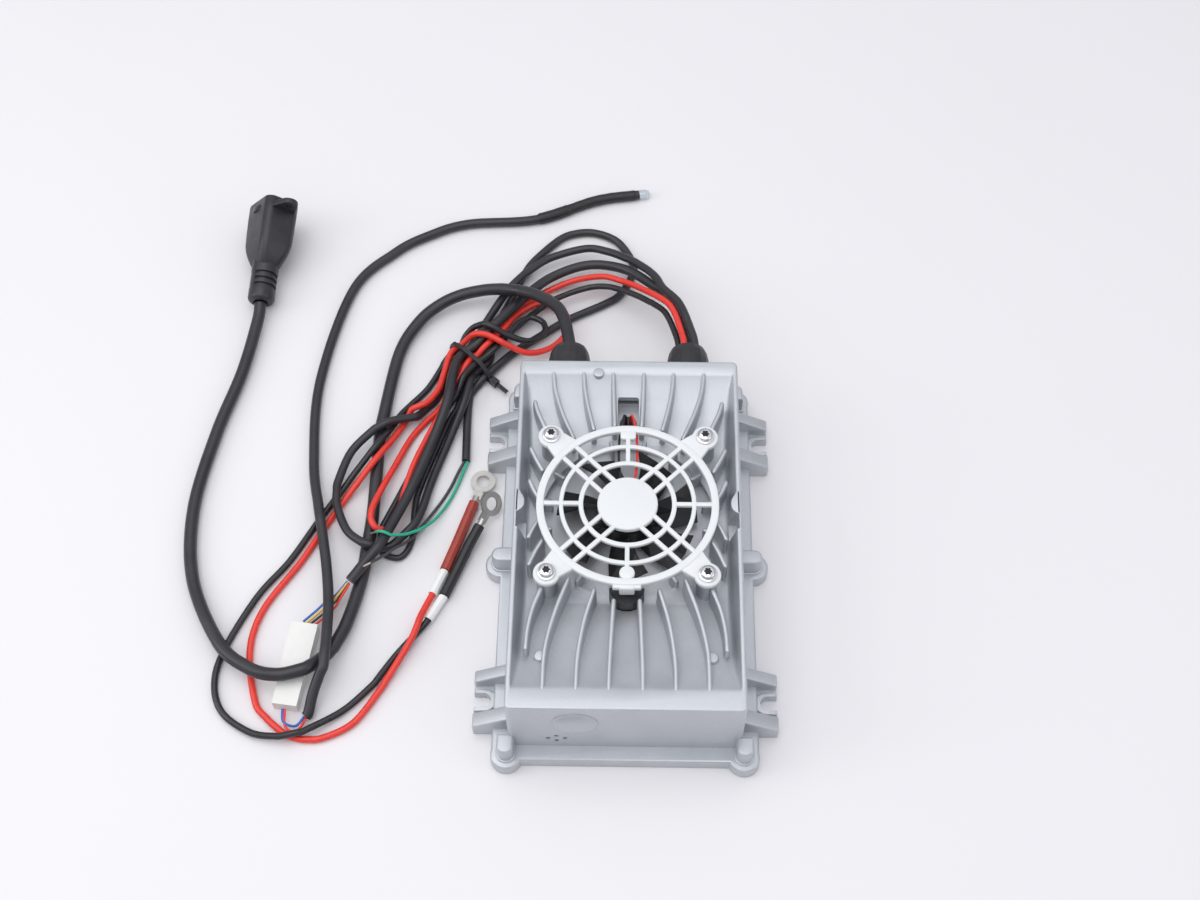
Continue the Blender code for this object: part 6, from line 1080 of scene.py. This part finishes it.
# Radius and height over the seat in millimetres, then the six-lobe socket's
WASHER_PROFILE = [(2.2, 0), (4.75, 0), (4.9, 0.2), (4.8, 0.8), (4.6, 0.9), (2.2, 0.9)]
HEAD_PROFILE = [(3.9, 0.9), (4.0, 1.1), (4.0, 2.0), (3.85, 2.5), (3.4, 2.95), (2.7, 3.2)]
SOCKET_RADIUS = 1.85
SOCKET_LOBE = 0.28


def make_fan_screw(index, x, y):
    """A pan-head screw with a six-lobe socket over a flat washer; a near-black plug sunk in the socket is
    painted shade for its dark depth.
    """
    washer = spun([(radius * MM, SCREW_SEAT + rise * MM) for radius, rise in WASHER_PROFILE], 40, (x, y))
    lobes = []
    for step in range(48):
        angle = 2 * math.pi * step / 48
        reach = (SOCKET_RADIUS + SOCKET_LOBE * math.cos(6 * angle)) * MM
        lobes.append((reach * math.cos(angle), reach * math.sin(angle)))
    base, top = SCREW_SEAT + 0.9 * MM, SCREW_SEAT + 3.3 * MM
    sections = [[(*point, SCREW_SEAT + rise * MM) for point in round_outline((x, y), radius * MM, 48)]
                for radius, rise in HEAD_PROFILE]
    sections += [[(x + px * grow, y + py * grow, height) for px, py in lobes]
                 for grow, height in ((1.12, top), (1.0, top - 0.15 * MM), (0.96, top - 1.5 * MM))]
    shank = spun([(0.0, 50 * MM), (1.9 * MM, 50 * MM), (1.9 * MM, base + 0.5 * MM), (0.0, base + 0.5 * MM)],
                 20, (x, y))
    # A dark plug inside the socket, painted shade where the socket's depth falls into shadow
    recess = prism([(x + px * 0.99, y + py * 0.99) for px, py in lobes], top - 1.55 * MM, top - 0.75 * MM)
    made = solid(f"fan_screw_skin_{index}", [washer, skin(sections), shank], looks["screw_steel"])
    return join(made.name, [made, solid("recess", [recess], looks["socket_painted_shade"])])


carry(make_guard(), nodes=["fan_guard"])
for number, (low, high) in enumerate([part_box(f"fan_screw_{number}") for number in (1, 2, 3, 4)], 1):
    middle = (low + high) / 2
    carry(make_fan_screw(number, middle.x, middle.y), nodes=[f"fan_screw_{number}"])


# Inlet plug: grooved relief, tapered body, eared flange and open socket, along its own +Y
PLUG_PLACE = (Matrix.Translation((-221.9 * MM, 175.2 * MM, 8.4 * MM))
              @ Matrix.Rotation(math.radians(-2.5), 4, "Z") @ Matrix.Rotation(math.radians(10.9), 4, "X")
              @ Matrix.Rotation(math.radians(-50.0), 4, "Y"))
# Along the plug in millimetres: the relief's radius, then how far the body's outline is drawn in
RELIEF_PROFILE = [(6.0, 3.9), (0.8, 4.1), (0.3, 4.5), (0.2, 5.6), (0.7, 6.8), (1.8, 7.7), (3.2, 8.0),
                  (8.4, 8.0), (8.8, 7.9), (9.1, 6.6), (10.7, 6.6), (11.0, 7.9), (12.7, 7.9), (13.0, 6.6),
                  (14.6, 6.6), (14.9, 7.9), (16.6, 7.9), (16.9, 6.6), (18.5, 6.6), (18.8, 7.9),
                  (19.3, 8.0), (27.0, 8.3)]
BODY_PROFILE = [(23.5, 6.4), (25.0, 5.4), (27.5, 4.2), (30.0, 3.0), (34.0, 1.5), (38.0, 0.6), (46.0, 0.2),
                (56.0, 0.0), (64.6, 0.0), (65.5, 0.3), (65.9, 0.7), (66.0, 1.2)]


def socket_shell(half_x, half_z):
    """The plug's open socket, ready to cut."""
    outline = rectangle(half_x, half_z, 2.4 * MM, 5)
    return moved(skin([[(point.x, along, point.y) for point in outline] for along in (49 * MM, CUT_TOP)]),
                 PLUG_PLACE)


def make_plug():
    """The plug's relief, body and flange as one piece, with the socket cut through body and flange."""
    relief = []
    for along, radius in RELIEF_PROFILE:
        ring = []
        for step in range(64):
            angle = 2 * math.pi * step / 64
            spine = abs(math.sin(angle)) > 0.93 and radius < 7.95 and along > 5
            reach = 7.9 if spine and 8 < along < 19 else radius
            ring.append((reach * math.cos(angle) * MM, along * MM, reach * math.sin(angle) * MM))
        relief.append(ring)
    sections = []
    for along, inset in BODY_PROFILE:
        outline = rectangle((14.0 - inset) * MM, (11.0 - inset * 0.6) * MM, 5.0 * MM, 8)
        sections.append([(point.x, along * MM, point.y) for point in outline])
    body = solid("inlet_plug_skin", [moved(skin(sections), PLUG_PLACE)], looks["plug_plastic"])
    cut(body, [socket_shell(9.5 * MM, 6.5 * MM)])
    outline = []
    for centre, radius, start, stop in ((20.0, 5.4, -62, 62), (0, 12.2, 62, 118), (-20.0, 5.4, 118, 242),
                                        (0, 12.2, 242, 298)):
        outline += arc((centre * MM, 0), radius * MM, start, stop, 10)
    lay = PLUG_PLACE @ Matrix(((1, 0, 0, 0), (0, 0, 1, 0), (0, 1, 0, 0), (0, 0, 0, 1)))
    flange = solid("plug_flange", [moved(slab(outline, 58.0 * MM, 61.5 * MM, 0.7 * MM, 0.7 * MM), lay)],
                   looks["plug_plastic"])
    holes = [moved(disc_shell((side * 20 * MM, 0), 1.8 * MM, 55 * MM, 64 * MM, 24), lay)
             for side in (-1, 1)]
    cut(flange, holes + [socket_shell(9.6 * MM, 6.6 * MM)])
    collar = solid("plug_relief", [moved(skin(relief), PLUG_PLACE)], looks["plug_plastic"], angle=50)
    return join("inlet_plug_skin", [body, flange, collar])


plug = carry(make_plug(), nodes=["inlet_plug"])

make_cord(
    "mains_cable_skin", MAINS_CABLE_ROUTE, 7.2 * MM, "cable_jacket",
    ["mains_cable"], 1.2 * MM)

bpy.context.view_layer.update()
